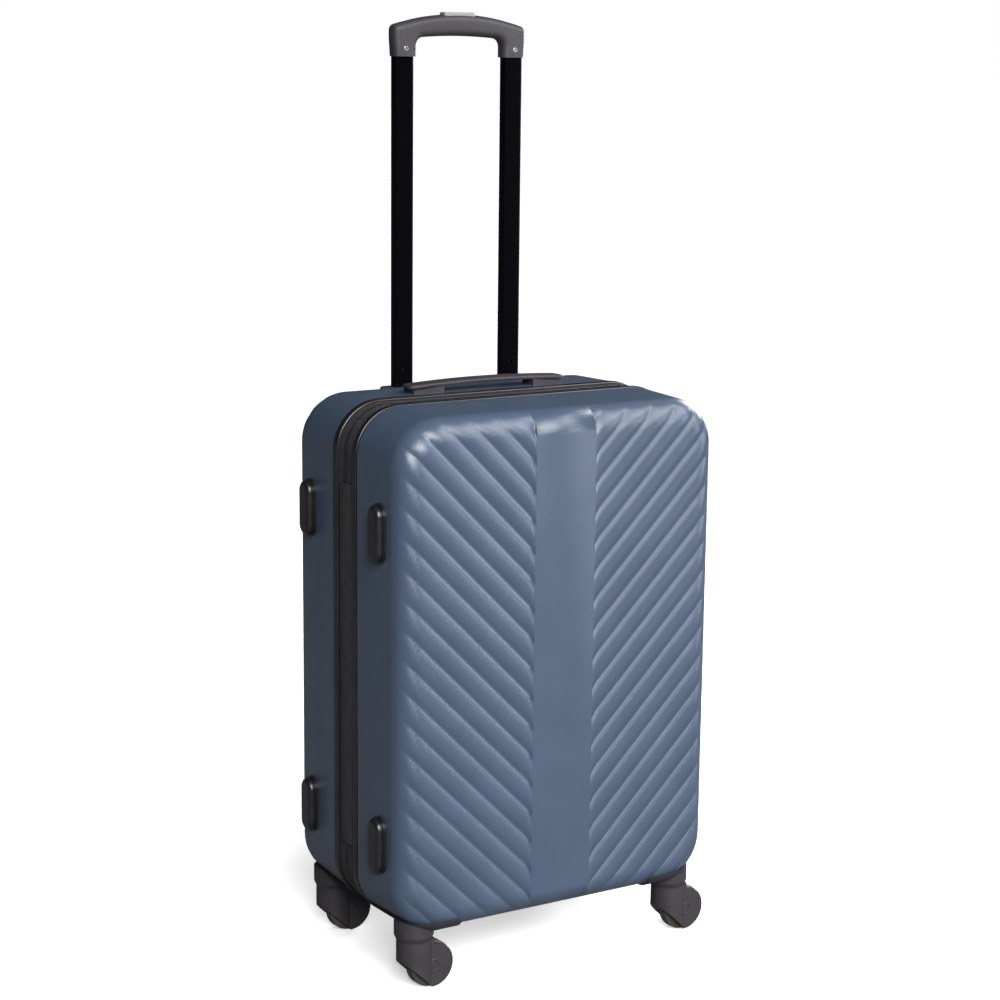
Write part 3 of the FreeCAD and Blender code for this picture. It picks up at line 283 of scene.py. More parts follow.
def diamond_grain(finish, pitch):
    """Waves along four space diagonals, which show as small diamonds on a face turned any way."""
    total = 0.0
    for direction in ((1, 1, 1), (1, 1, -1), (1, -1, 1), (-1, 1, 1)):
        total = math_node(finish, "ADD", wave_along(finish, direction, pitch), total)
    return math_node(finish, "MULTIPLY", total, 0.25)


def weave_grain(finish, pitch):
    """Two crossed waves, as over and under threads make."""
    warp = math_node(finish, "ADD", wave_along(finish, X_AXIS, pitch), wave_along(finish, Y_AXIS, pitch))
    weft = wave_along(finish, Z_AXIS, pitch)
    return math_node(finish, "MULTIPLY", warp, weft)


FINISHES = {}
print("finish helpers ready")

# %% [markdown]
# The shell is blue-grey plastic sheet with a fine diamond pattern pressed in while it was hot.  The
# pattern hides scratches and breaks up the shine, so the highlights on the ribs look slightly
# frosted.  Modelling half a million diamonds would be heavy, and bump shows them at this distance.

# %% Shell plastic
shell_finish = new_finish("shell_polycarbonate", (0.040, 0.059, 0.094), 0.30, shine=0.52)
drift_colour(shell_finish, (0.038, 0.057, 0.090), (0.042, 0.062, 0.098), 60 * MM)
drift_roughness(shell_finish, 0.28, 0.34, 8 * MM)
DIAMOND_PITCH = 1.5 * MM
DIAMOND_DEPTH = 0.11 * MM
add_relief(shell_finish, diamond_grain(shell_finish, DIAMOND_PITCH), DIAMOND_DEPTH, 0.9)
FINISHES["shell_polycarbonate"] = shell_finish
print("diamonds every", round(DIAMOND_PITCH / MM, 2), "mm")

# %% [markdown]
# The dark mouldings - grip, casters, handle bases - come from spark-eroded moulds, which leave a
# fine even grain.  The edge strip is softer and smoother, the side feet are polished, and the tubes
# are anodised black with faint drawing lines along their length.

# %% Mouldings, edge strip and tubes
moulding_finish = new_finish("dark_plastic", (0.030, 0.028, 0.032), 0.44, shine=0.3)
drift_colour(moulding_finish, (0.023, 0.021, 0.025), (0.029, 0.027, 0.031), 30 * MM)
drift_roughness(moulding_finish, 0.42, 0.56, 4 * MM)
add_relief(moulding_finish, noise_of(moulding_finish, 0.5 * MM, 2.0), 0.05 * MM, 0.6)
FINISHES["dark_plastic"] = moulding_finish

strip_finish = new_finish("piping", (0.008, 0.0075, 0.008), 0.28, shine=0.45)
drift_colour(strip_finish, (0.007, 0.0065, 0.007), (0.010, 0.009, 0.010), 25 * MM)
drift_roughness(strip_finish, 0.24, 0.36, 6 * MM)
add_relief(strip_finish, noise_of(strip_finish, 1.2 * MM, 2.0), 0.04 * MM, 0.5)
FINISHES["piping"] = strip_finish

foot_finish = new_finish("polished_plastic", (0.006, 0.006, 0.007), 0.30, shine=0.5)
drift_colour(foot_finish, (0.005, 0.005, 0.006), (0.008, 0.008, 0.009), 12 * MM)
drift_roughness(foot_finish, 0.26, 0.38, 5 * MM)
add_relief(foot_finish, noise_of(foot_finish, 0.6 * MM, 2.0), 0.02 * MM, 0.5)

tube_finish = new_finish("tube_black", (0.0012, 0.0012, 0.0018), 0.18, shine=0.05)
drawn = add_node(tube_finish, "ShaderNodeMapping")
drawn.inputs["Scale"].default_value = (1, 1, 0.01)
link(tube_finish, place_of(tube_finish), drawn.inputs["Vector"])
lines = add_node(tube_finish, "ShaderNodeTexNoise", Scale=1 / (0.6 * MM), Detail=2.0)
link(tube_finish, drawn.outputs["Vector"], lines.inputs["Vector"])
add_relief(tube_finish, lines.outputs["Fac"], 0.01 * MM, 0.4)
drift_roughness(tube_finish, 0.12, 0.22, 20 * MM)
FINISHES["tube_black"] = tube_finish
print("mouldings, strip, feet and tubes:", foot_finish.name, sorted(FINISHES))

# %% [markdown]
# Wheels are cast polyurethane, a warmer olive grey than the mouldings and a little dusty.  Zip
# hardware is gun-metal, screws and axles are brushed steel.

# %% Wheels, metals and small plastics
wheel_finish = new_finish("wheel_rubber", (0.055, 0.052, 0.040), 0.55)
drift_colour(wheel_finish, (0.045, 0.043, 0.033), (0.064, 0.061, 0.047), 10 * MM)
drift_roughness(wheel_finish, 0.5, 0.7, 5 * MM)
add_relief(wheel_finish, noise_of(wheel_finish, 0.8 * MM), 0.06 * MM, 0.6)
FINISHES["wheel_rubber"] = wheel_finish

steel_finish = new_finish("steel", (0.55, 0.55, 0.56), 0.30, 1.0)
drift_roughness(steel_finish, 0.22, 0.40, 2 * MM)
add_relief(steel_finish, noise_of(steel_finish, 0.3 * MM), 0.02 * MM, 0.4)
FINISHES["steel"] = steel_finish

zip_metal_finish = new_finish("zip_metal", (0.11, 0.11, 0.12), 0.32, 1.0)
drift_roughness(zip_metal_finish, 0.25, 0.42, 3 * MM)
drift_colour(zip_metal_finish, (0.10, 0.10, 0.11), (0.14, 0.14, 0.15), 6 * MM)
FINISHES["zip_metal"] = zip_metal_finish

button_finish = new_finish("button_plastic", (0.17, 0.17, 0.18), 0.30)
drift_roughness(button_finish, 0.28, 0.42, 3 * MM)
add_relief(button_finish, noise_of(button_finish, 0.4 * MM), 0.02 * MM, 0.4)
FINISHES["button_plastic"] = button_finish

dial_finish = new_finish("dial_plastic", (0.020, 0.020, 0.022), 0.30)
drift_roughness(dial_finish, 0.24, 0.38, 2 * MM)
add_relief(dial_finish, noise_of(dial_finish, 0.4 * MM), 0.02 * MM, 0.4)
FINISHES["dial_plastic"] = dial_finish
print("metals and small plastics:", len(FINISHES), "finishes so far")

# %% [markdown]
# The cloth parts are polyester.  The lining is a thin plain weave with a dull shine, the zip tape a
# tighter one, and the packing straps are ribbed webbing.

# %% Cloths
lining_finish = new_finish("lining_cloth", (0.09, 0.095, 0.105), 0.62)
drift_colour(lining_finish, (0.080, 0.085, 0.095), (0.100, 0.105, 0.115), 40 * MM)
lining_finish.node_tree.nodes["Principled BSDF"].inputs["Sheen Weight"].default_value = 0.25
add_relief(lining_finish, weave_grain(lining_finish, 0.9 * MM), 0.06 * MM, 0.7)
FINISHES["lining_cloth"] = lining_finish

tape_finish = new_finish("zip_tape", (0.022, 0.021, 0.023), 0.7)
drift_colour(tape_finish, (0.018, 0.017, 0.019), (0.028, 0.027, 0.029), 12 * MM)
add_relief(tape_finish, weave_grain(tape_finish, 0.8 * MM), 0.08 * MM, 0.8)
FINISHES["zip_tape"] = tape_finish

webbing_finish = new_finish("strap_webbing", (0.030, 0.030, 0.034), 0.66)
drift_colour(webbing_finish, (0.026, 0.026, 0.030), (0.038, 0.038, 0.042), 10 * MM)
add_relief(webbing_finish, weave_grain(webbing_finish, 1.6 * MM), 0.2 * MM, 0.8)
FINISHES["strap_webbing"] = webbing_finish
print("finishes", sorted(FINISHES))

# %% [markdown]
# ## Finishing the parts that keep their shape
#
# Most of the solids already have the right outline.  Each one arrives with a plain material that is
# named after its slot, so the matching finish goes into the same place.

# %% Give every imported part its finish
for name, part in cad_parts.items():
    slot_name = part.data.materials[0].name.split(".")[0]
    print(name, slot_name)
    finish = foot_finish if name.endswith("side_feet") else FINISHES[slot_name]
    part.data.materials[0] = finish

# %% [markdown]
# ## New pieces
#
# A new piece is shaped in a bmesh, which is a mesh that operators can work on without an object.
# When it is done it becomes an object, rides on the body that carries it, and takes the place of
# the solid that it stands for.

# %% Helpers for new pieces
TOUCH = 1e-6
SHELL_SHARP = 24
MOULDING_SHARP = 40


def make_piece(name, bm, body, slot_name, replaces=(), sharp_angle=32):
    """Turns a finished bmesh into an object that rides on a body."""
    mesh = bpy.data.meshes.new(name)
    for face in bm.faces:
        face.smooth = True
    for edge in bm.edges:
        edge.smooth = edge.is_manifold and edge.calc_face_angle() < math.radians(sharp_angle)
    bm.to_mesh(mesh)
    bm.free()
    mesh.materials.append(FINISHES[slot_name])
    piece = bpy.data.objects.new(name, mesh)
    bpy.context.scene.collection.objects.link(piece)
    if body:
        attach(piece, body)
    if replaces:
        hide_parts(*replaces)
    print(name, len(mesh.polygons), "faces")
    return piece


def smooth_step(value, start, end):
    """0 at the start, 1 at the end, with an easy curve between."""
    share = min(max((value - start) / (end - start), 0.0), 1.0)
    return share * share * (3 - 2 * share)


def geometry_where(bm, wanted):
    """The faces whose middle passes a test, with their edges and corners, as operators want them."""
    faces = [f for f in bm.faces if wanted(f.calc_center_median())]
    edges = {e for f in faces for e in f.edges}
    corners = {v for f in faces for v in f.verts}
    return faces + list(edges) + list(corners)


def slice_mesh(bm, wanted, point, normal):
    """Cuts new edges where a plane crosses the chosen faces."""
    bmesh.ops.bisect_plane(bm, geom=geometry_where(bm, wanted), dist=TOUCH, plane_co=point,
                           plane_no=normal)


print("crisp edges: over", SHELL_SHARP, "degrees on shells, over", MOULDING_SHARP, "on mouldings")

# %% [markdown]
# ## The pressed shells
#
# A shell starts as one block with the outline of the case.  Its four long edges are rounded, the
# side at the zip is left open, and the edge round its face is rounded again, which is what the real
# mould does.  The walls lean in slightly towards the face so that the sheet leaves the mould.
#
# The ribs are pillows that run down to a flat middle band at 45 degrees.  Sculpting them on an even
# grid would leave jagged creases, because the creases cross the grid.  So the face is first sliced
# along every crease and a few lines between, and then each corner is pushed in by a simple curve.
# The mesh edges lie exactly on the creases, which stay sharp with few faces.

# %% The block of one shell
OUTLINE_RADIUS = 55 * MM
WALL_DRAFT = 2.5 * MM
OUTLINE_STEPS = 16
FACE_STEPS = 10
SHEET_THICKNESS = 1.6 * MM


def shell_block(low, high, side, face_radius):
    """An open tray: side is -1 for the lid, whose face looks to -Y, and +1 for the rear half."""
    face_y = high.y if side > 0 else low.y
    rim_y = low.y if side > 0 else high.y
    middle, size = (low + high) / 2, high - low
    bm = bmesh.new()
    bmesh.ops.create_cube(bm, size=1)
    bmesh.ops.scale(bm, vec=size, verts=bm.verts)
    bmesh.ops.translate(bm, vec=middle, verts=bm.verts)
    face_corners = [v for v in bm.verts if abs(v.co.y - face_y) < MM]
    lean = Vector((1 - 2 * WALL_DRAFT / size.x, 1, 1 - 2 * WALL_DRAFT / size.z))
    bmesh.ops.scale(bm, vec=lean, space=Matrix.Translation(-middle), verts=face_corners)
    long_edges = [e for e in bm.edges if abs(e.verts[0].co.y - e.verts[1].co.y) > MM]
    bmesh.ops.bevel(bm, geom=long_edges, offset=OUTLINE_RADIUS, offset_type="OFFSET",
                    segments=OUTLINE_STEPS, profile=0.5, affect="EDGES", material=-1)
    rim = [f for f in bm.faces if all(abs(v.co.y - rim_y) < 0.1 * MM for v in f.verts)]
    bmesh.ops.delete(bm, geom=rim, context="FACES_ONLY")
    face_edges = [e for e in bm.edges if all(abs(v.co.y - face_y) < 0.1 * MM for v in e.verts)]
    bmesh.ops.bevel(bm, geom=face_edges, offset=face_radius, offset_type="OFFSET",
                    segments=FACE_STEPS, profile=0.5, affect="EDGES", material=-1)
    return bm, face_y


print("sheet", round(SHEET_THICKNESS / MM, 2), "mm thick, corners", round(OUTLINE_RADIUS / MM), "mm round")

# %% Slicing and pressing the ribs
RIB_PITCH = 33.7 * MM
TOP_TO_CREASE = 22 * MM
shell_low, shell_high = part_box("front_shell")
FIRST_CREASE = shell_high.z - TOP_TO_CREASE
CREST_SHARE = 0.56
PRESS_LINES = (0, 0.07, 0.15, 0.25, 0.35, 0.46, CREST_SHARE, 0.66, 0.76, 0.85, 0.93)
NEAR_BAND = (0, 0.7, 1.8, 3.2, 4.8, 6.5, 8.5, 12)
COLUMN_PITCH = 7 * MM
HOOK_REACH = 8.5 * MM
HOOK_DROP = 5.5 * MM
BAND_WALL = 0.7 * MM
BAND_MARGIN = 0.8 * MM
SIDE_FADE = (3 * MM, 24 * MM)
TOP_FADE = (3 * MM, 18 * MM)
BOTTOM_FADE = (5 * MM, 26 * MM)


def pillow_depth(share):
    """How deep the sheet lies, 1 in a crease and 0 on a crest, on the way to the next crease."""
    if share < CREST_SHARE:
        return (1 - share / CREST_SHARE) ** 2
    return ((share - CREST_SHARE) / (1 - CREST_SHARE)) ** 2


def slice_ribs(bm, side_x, low, high, face_y, face_radius, band_half):
    """Cuts the face of one side of the band along its creases and then into columns."""
    inner_y = face_y - math.copysign(face_radius, face_y)

    def on_face(point):
        return point.x * side_x > band_half and abs(point.y) > abs(inner_y)

    for inset in (0, BAND_MARGIN):
        edge_x = side_x * (band_half - inset)
        slice_mesh(bm, lambda p: abs(p.y) > abs(inner_y), Vector((edge_x, 0, 0)), X_AXIS)
    top = high.z + (high.x - band_half)
    row = math.ceil((top - FIRST_CREASE) / RIB_PITCH)
    while FIRST_CREASE + row * RIB_PITCH > low.z - (high.x - band_half):
        for share in PRESS_LINES:
            level = FIRST_CREASE + (row - share) * RIB_PITCH
            slice_mesh(bm, on_face, Vector((side_x * band_half, 0, level)), Vector((-side_x, 0, 1)))
        row -= 1
    columns = [band_half + step * MM for step in NEAR_BAND[1:]]
    while columns[-1] < high.x - COLUMN_PITCH:
        columns.append(columns[-1] + COLUMN_PITCH)
    for column in columns:
        slice_mesh(bm, on_face, Vector((side_x * column, 0, 0)), X_AXIS)


def press_ribs(bm, low, high, face_y, face_radius, band_half, relief):
    """Pushes the sliced face in, away from the crests, and bends the crease ends down at the band."""
    inward = -math.copysign(1, face_y)
    inner_y = face_y + inward * face_radius
    for corner in bm.verts:
        x, y, z = corner.co
        off_band = abs(x) - band_half
        if abs(y) < abs(inner_y) or off_band < -TOUCH:
            continue
        rows = (FIRST_CREASE - (z - off_band)) / RIB_PITCH
        depth = relief * pillow_depth(rows - math.floor(rows + TOUCH))
        fade = smooth_step(high.x - abs(x), *SIDE_FADE)
        fade *= smooth_step(high.z - z, *TOP_FADE)
        fade *= smooth_step(z - low.z, *BOTTOM_FADE)
        corner.co.y += inward * depth * fade * min(off_band / BAND_WALL, 1)
        if off_band < HOOK_REACH:
            corner.co.z -= fade * HOOK_DROP * (1 - off_band / HOOK_REACH) ** 2


def add_wall(piece, thickness):
    """Gives a one-sided sheet its thickness, inwards from the face that was modelled."""
    wall = piece.modifiers.new("wall", "SOLIDIFY")
    wall.thickness = thickness
    wall.offset = -1
    return piece


print("ribs every", round(RIB_PITCH / MM, 1), "mm, first crease at z", round(FIRST_CREASE, 4))

# %% The ribbed lid
LID_FACE_RADIUS = 27 * MM
LID_BAND_HALF = 39 * MM
LID_RELIEF = 2.8 * MM
STRIP_GROOVE = 3.0 * MM
GROOVE_DEPTH = 3.0 * MM


def ribbed_shell(node, side, face_radius, band_half, relief):
    """The tray of one half with its ribs pressed in, as one sheet."""
    low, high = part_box(node)
    if side < 0:
        high.y -= STRIP_GROOVE
    bm, face_y = shell_block(low, high, side, face_radius)
    for side_x in (-1, 1):
        slice_ribs(bm, side_x, low, high, face_y, face_radius, band_half)
    press_ribs(bm, low, high, face_y, face_radius, band_half, relief)
    return bm


lid_bm = ribbed_shell("front_shell", -1, LID_FACE_RADIUS, LID_BAND_HALF, LID_RELIEF)
lid = make_piece("ribbed_lid", lid_bm, "front_case", "shell_polycarbonate", ["front_shell"], SHELL_SHARP)
add_wall(lid, SHEET_THICKNESS)

# %% [markdown]
# The edge strip grips the sheet in a groove, whose shade shows as a black line all round the lid.  The
# lid therefore stops short of the strip, and a dark band in the strip's own colour stands a little
# inside to close the gap; it is partly the strip's channel and partly painted shade for the groove.

# %% Outline bands
def outline_band(name, body, slot_name, y_span, inset, thickness, replaces=()):
    """A band that follows the outline of the case, inset from it."""
    step = Vector((inset, 0, inset))
    band_low = Vector((shell_low.x, y_span[0], shell_low.z)) + step
    band_high = Vector((shell_high.x, y_span[1], shell_high.z)) - step
    bm = bmesh.new()
    bmesh.ops.create_cube(bm, size=1)
    bmesh.ops.scale(bm, vec=band_high - band_low, verts=bm.verts)
    bmesh.ops.translate(bm, vec=(band_low + band_high) / 2, verts=bm.verts)
    corners = [e for e in bm.edges if abs(e.verts[0].co.y - e.verts[1].co.y) > MM]
    bmesh.ops.bevel(bm, geom=corners, offset=OUTLINE_RADIUS - inset, offset_type="OFFSET",
                    segments=OUTLINE_STEPS, profile=0.5, affect="EDGES", material=-1)
    ends = [f for f in bm.faces if abs(f.normal.y) > 0.9]
    bmesh.ops.delete(bm, geom=ends, context="FACES_ONLY")
    return add_wall(make_piece(name, bm, body, slot_name, replaces), thickness)


groove_span = (shell_high.y - STRIP_GROOVE - MM, shell_high.y)
GROOVE_WALL = 1.2 * MM
# Painted shade: this dark band blackens the gap where the groove lies in shadow.
outline_band("lid_groove_painted_shade", "front_case", "piping", groove_span, GROOVE_DEPTH, GROOVE_WALL)

# %% [markdown]
# The rear half is the same tray, but two square tubes stand behind its face.  Its flat middle band
# is therefore as wide as the bezel of the tubes, and the ribs are shallower.  The tubes, the legs of
# the carry handles and the lock pass through the sheet, so a hole is cut for each one: planes slice
# the wall along the edges of the hole and the faces inside it are deleted.

# %% The rear shell and its holes
REAR_FACE_RADIUS = 32 * MM
REAR_RELIEF = 2.0 * MM
HOLE_MARGIN = 0.6 * MM
WALL_REACH = 6 * MM


def cut_window(bm, low, high, wanted):
    """Opens a rectangular hole where a box passes through the chosen wall."""
    for axis in range(3):
        normal = Vector((0, 0, 0))
        normal[axis] = 1
        for level in (low[axis], high[axis]):
            slice_mesh(bm, wanted, normal * level, normal)
    inside = [f for f in bm.faces if all(low[i] < f.calc_center_median()[i] < high[i] for i in range(3))]
    bmesh.ops.delete(bm, geom=inside, context="FACES")


bezel_low, bezel_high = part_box("trolley_top_plate")
rear_low, rear_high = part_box("rear_shell")
rear_bm = ribbed_shell("rear_shell", 1, REAR_FACE_RADIUS, bezel_high.x, REAR_RELIEF)
margin = Vector((HOLE_MARGIN, HOLE_MARGIN, 0))
for tube in ("outer_tube_left", "outer_tube_right"):
    low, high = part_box(tube)
    cut_window(rear_bm, low - margin, Vector((high.x, high.y, rear_high.z + MM)) + margin,
               lambda p: p.z > rear_high.z - REAR_FACE_RADIUS)
LEG_CENTRE = 92.5 * MM
LEG_HALF = Vector((4.5 * MM, 8 * MM, WALL_REACH))
top_bar_low, top_bar_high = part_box("top_handle_grip")
side_bar_low, side_bar_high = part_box("side_handle_grip")
bar_y = (top_bar_low.y + top_bar_high.y) / 2
side_z = (side_bar_low.z + side_bar_high.z) / 2
for side in (-1, 1):
    top_leg = Vector((side * LEG_CENTRE, bar_y, rear_high.z))
    cut_window(rear_bm, top_leg - LEG_HALF - margin, top_leg + LEG_HALF + margin,
               lambda p: p.z > rear_high.z - MM)
    side_leg = Vector((rear_high.x, bar_y, side_z + side * LEG_CENTRE))
    half = Vector((LEG_HALF.z, LEG_HALF.y + HOLE_MARGIN, LEG_HALF.x + HOLE_MARGIN))
    cut_window(rear_bm, side_leg - half, side_leg + half, lambda p: p.x > rear_high.x - WALL_REACH)
lock_low, lock_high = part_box("lock_body")
lock_rim = Vector((0, HOLE_MARGIN, HOLE_MARGIN))
cut_window(rear_bm, lock_low + lock_rim, lock_high - lock_rim, lambda p: p.x > rear_high.x - WALL_REACH)
rear_shell = make_piece("ribbed_rear_shell", rear_bm, "rear_case", "shell_polycarbonate", ["rear_shell"],
                        SHELL_SHARP)
add_wall(rear_shell, SHEET_THICKNESS)

# %% [markdown]
# ## The zip
#
# A zip is a woven tape with a row of teeth on its edge, sewn inside each half.  The tape is a thin
# band that follows the outline of the case.  The teeth repeat hundreds of times, so each one is a
# small block with its edges taken off, and one loop walks round the outline and sets them down.
# The rows are half a step apart, so that the teeth of one half stand between those of the other.

# %% Walking round the outline
ZIP_Y = -3 * MM
TAPE_INSET = 2.3 * MM
TAPE_THICKNESS = 0.9 * MM
TOOTH_INSET = 1.7 * MM
TOOTH_PITCH = 2.6 * MM
TOOTH_SIZE = Vector((1.5, 2.6, 1.1)) * MM
TOOTH_REACH = 0.55 * MM
TOOTH_EDGE = 0.25 * MM
gusset_low, gusset_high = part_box("hinge_gusset")
outline_low = Vector((rear_low.x, 0, rear_low.z))
outline_high = Vector((rear_high.x, 0, rear_high.z))


def outline_stops(inset, pitch):
    """Places and headings at even steps round the outline of the case, inset from it."""
    radius = OUTLINE_RADIUS - inset
    straight_x = (outline_high.x - outline_low.x) / 2 - OUTLINE_RADIUS
    straight_z = (outline_high.z - outline_low.z) / 2 - OUTLINE_RADIUS
    middle = (outline_low + outline_high) / 2
    quarter = radius * math.pi / 2
    stops = []
    for turn, (run, across) in enumerate(((straight_z, straight_x), (straight_x, straight_z)) * 2):
        facing = Matrix.Rotation(-turn * math.pi / 2, 3, "Y")
        count = round((2 * run + quarter) / pitch)
        for step in range(count):
            along = step * (2 * run + quarter) / count
            angle = max(along - 2 * run, 0) / radius
            place = Vector((across + radius * math.cos(angle), 0, -run + min(along, 2 * run)))
            place.z += radius * math.sin(angle)
            stops.append((middle + facing @ place, turn * math.pi / 2 + angle))
    return stops


print("zip stops", len(outline_stops(TOOTH_INSET, TOOTH_PITCH / 2)))


# %% Tape and teeth of each half
def zip_tape(side):
    """The band of tape between the edge strip of a half and the parting plane."""
    half = "rear" if side > 0 else "front"
    low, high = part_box(half + "_zip_stringer")
    tape = outline_band("zip_tape_" + half, half + "_case", "zip_tape", (low.y, high.y), TAPE_INSET,
                        TAPE_THICKNESS, [half + "_zip_stringer"])


def zip_teeth(side):
    """One row of teeth, left out along the cloth hinge."""
    bm = bmesh.new()
    for index, (place, heading) in enumerate(outline_stops(TOOTH_INSET, TOOTH_PITCH / 2)):
        if index % 2 == (side > 0):
            continue
        if place.x < outline_low.x + OUTLINE_RADIUS and gusset_low.z < place.z < gusset_high.z:
            continue
        place.y = ZIP_Y + side * TOOTH_REACH
        turned = Matrix.Translation(place) @ Matrix.Rotation(-heading, 4, "Y")
        bmesh.ops.create_cube(bm, size=1, matrix=turned @ Matrix.Diagonal((*TOOTH_SIZE, 1)))
    bmesh.ops.bevel(bm, geom=bm.edges[:], offset=TOOTH_EDGE, offset_type="OFFSET", segments=1,
                    profile=0.5, affect="EDGES", material=-1)
    body = "rear_case" if side > 0 else "front_case"
    return make_piece("zip_teeth_" + body.split("_")[0], bm, body, "zip_metal")


for side in (-1, 1):
    zip_tape(side)
    zip_teeth(side)

# %% [markdown]
# ## The cloth hinge
#
# The left side has no zip.  A strip of strong cloth is sewn to both halves there, and it is the
# hinge.  It is a grid of many small cells, bowed outwards a little, with fine wrinkles, and its rear
# edge is drawn in, most of all near its ends.

# %% The hinge cloth
HINGE_ROWS = 18
HINGE_CELLS = 40
HINGE_BOW = 1.6 * MM
HINGE_THICKNESS = 1.1 * MM
HINGE_TUCK = 2.2 * MM
HINGE_END = 0.93
WRINKLE_DEPTH = 0.15 * MM
WRINKLE_COUNT = 23
hinge_width = gusset_high.y - gusset_low.y
hinge_length = gusset_high.z - gusset_low.z
hinge_bm = bmesh.new()
stand = Matrix.Rotation(-math.pi / 2, 4, "Y")
bmesh.ops.create_grid(hinge_bm, x_segments=HINGE_CELLS, y_segments=HINGE_ROWS, size=0.5, matrix=stand)
bmesh.ops.scale(hinge_bm, vec=(1, hinge_width, hinge_length), verts=hinge_bm.verts)
for corner in hinge_bm.verts:
    across, along = 2 * corner.co.y / hinge_width, 2 * corner.co.z / hinge_length
    end_taper = smooth_step(abs(along), HINGE_END, 1.0)
    wrinkle = WRINKLE_DEPTH * math.sin(along * WRINKLE_COUNT + across * 2)
    corner.co.x = -HINGE_BOW * (1 - across * across) - wrinkle
    if across > 0:
        corner.co.y -= HINGE_TUCK * across * (1 + end_taper)
gusset_middle = (gusset_low + gusset_high) / 2
gusset_middle.x = gusset_low.x + 2 * HINGE_BOW
bmesh.ops.translate(hinge_bm, vec=gusset_middle, verts=hinge_bm.verts)
bmesh.ops.recalc_face_normals(hinge_bm, faces=hinge_bm.faces)
if sum(f.normal.x for f in hinge_bm.faces) > 0:
    bmesh.ops.reverse_faces(hinge_bm, faces=hinge_bm.faces)
hinge_cloth = make_piece("hinge_cloth", hinge_bm, None, "zip_tape", ["hinge_gusset"])
add_wall(hinge_cloth, HINGE_THICKNESS)
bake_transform(hinge_cloth)

# %% [markdown]
# ## The linings
#
# Thin cloth is glued inside each half.  It is a tray like the shell, but a little smaller, deep
# enough to clear the creases of the ribs, and its flat parts carry slack that shows as low waves.
# The slack is put in with a smooth random field after the tray has been cut into small cells.

# %% Cloth inside both halves
LINING_GAP = 2.6 * MM
LINING_FACE_GAP = 6.2 * MM
LINING_CELL = 18 * MM
LINING_WAVE = 1.3 * MM
LINING_THICKNESS = 0.7 * MM
LINING_RADIUS = 24 * MM
LONG_WAVE = 45 * MM
SHORT_WAVE = 20 * MM


def lining(side, node, body):
    """A cloth tray inside one shell."""
    low, high = shell_low.copy(), shell_high.copy()
    node_low, node_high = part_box(node)
    gap = LINING_GAP + WALL_DRAFT
    low.x, low.z, high.x, high.z = low.x + gap, low.z + gap, high.x - gap, high.z - gap
    low.y, high.y = node_low.y, node_high.y
    if side < 0:
        low.y = shell_low.y + LINING_FACE_GAP
    bm, face_y = shell_block(low, high, side, LINING_RADIUS)
    for axis in (0, 2):
        normal = Vector((0, 0, 0))
        normal[axis] = 1
        for step in range(int(low[axis] / LINING_CELL), int(high[axis] / LINING_CELL) + 1):
            slice_mesh(bm, lambda p: True, normal * step * LINING_CELL, normal)
    for corner in bm.verts:
        wave = noise.noise(corner.co / LONG_WAVE) + 0.5 * noise.noise(corner.co / SHORT_WAVE)
        if abs(corner.co.y - face_y) < LINING_RADIUS / 4:
            corner.co.y -= side * LINING_WAVE * (1 + wave) / 2
    cloth = add_wall(make_piece("cloth_" + node, bm, body, "lining_cloth", [node]), LINING_THICKNESS)


lining(-1, "front_lining", "front_case")
lining(1, "rear_lining", "rear_case")

# %% [markdown]
# ## The pull grip
#
# The grip is two mouldings screwed together round the tubes.  It is one arch with a short leg at
# each end.  The bar starts as a block, the legs are extruded out of its underside, and then both
# faces are lifted along a curve so that the bar bows upwards.  The corner under the arch and the
# long rims are bevelled last, because a bevel follows whatever shape it finds.

# %% The two grip mouldings
GRIP_CORNER = 5 * MM
GRIP_ARMPIT = 9 * MM
GRIP_RIM = 7.5 * MM
GRIP_FLARE = 1.4 * MM
GRIP_STEP = 6 * MM
PARTING_RIM = 0.25 * MM
leg_left_low, leg_left_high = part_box("inner_tube_left")
grip_low, grip_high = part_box("grip_front_half")
tube_mid_x = (leg_left_low.x + leg_left_high.x) / 2
grip_leg_inside = -2 * tube_mid_x - grip_high.x
GRIP_CROWN_DROP = 13.5 * MM
GRIP_ARCH_RISE = 21 * MM
GRIP_ARCH_BOW = 2.7 * MM


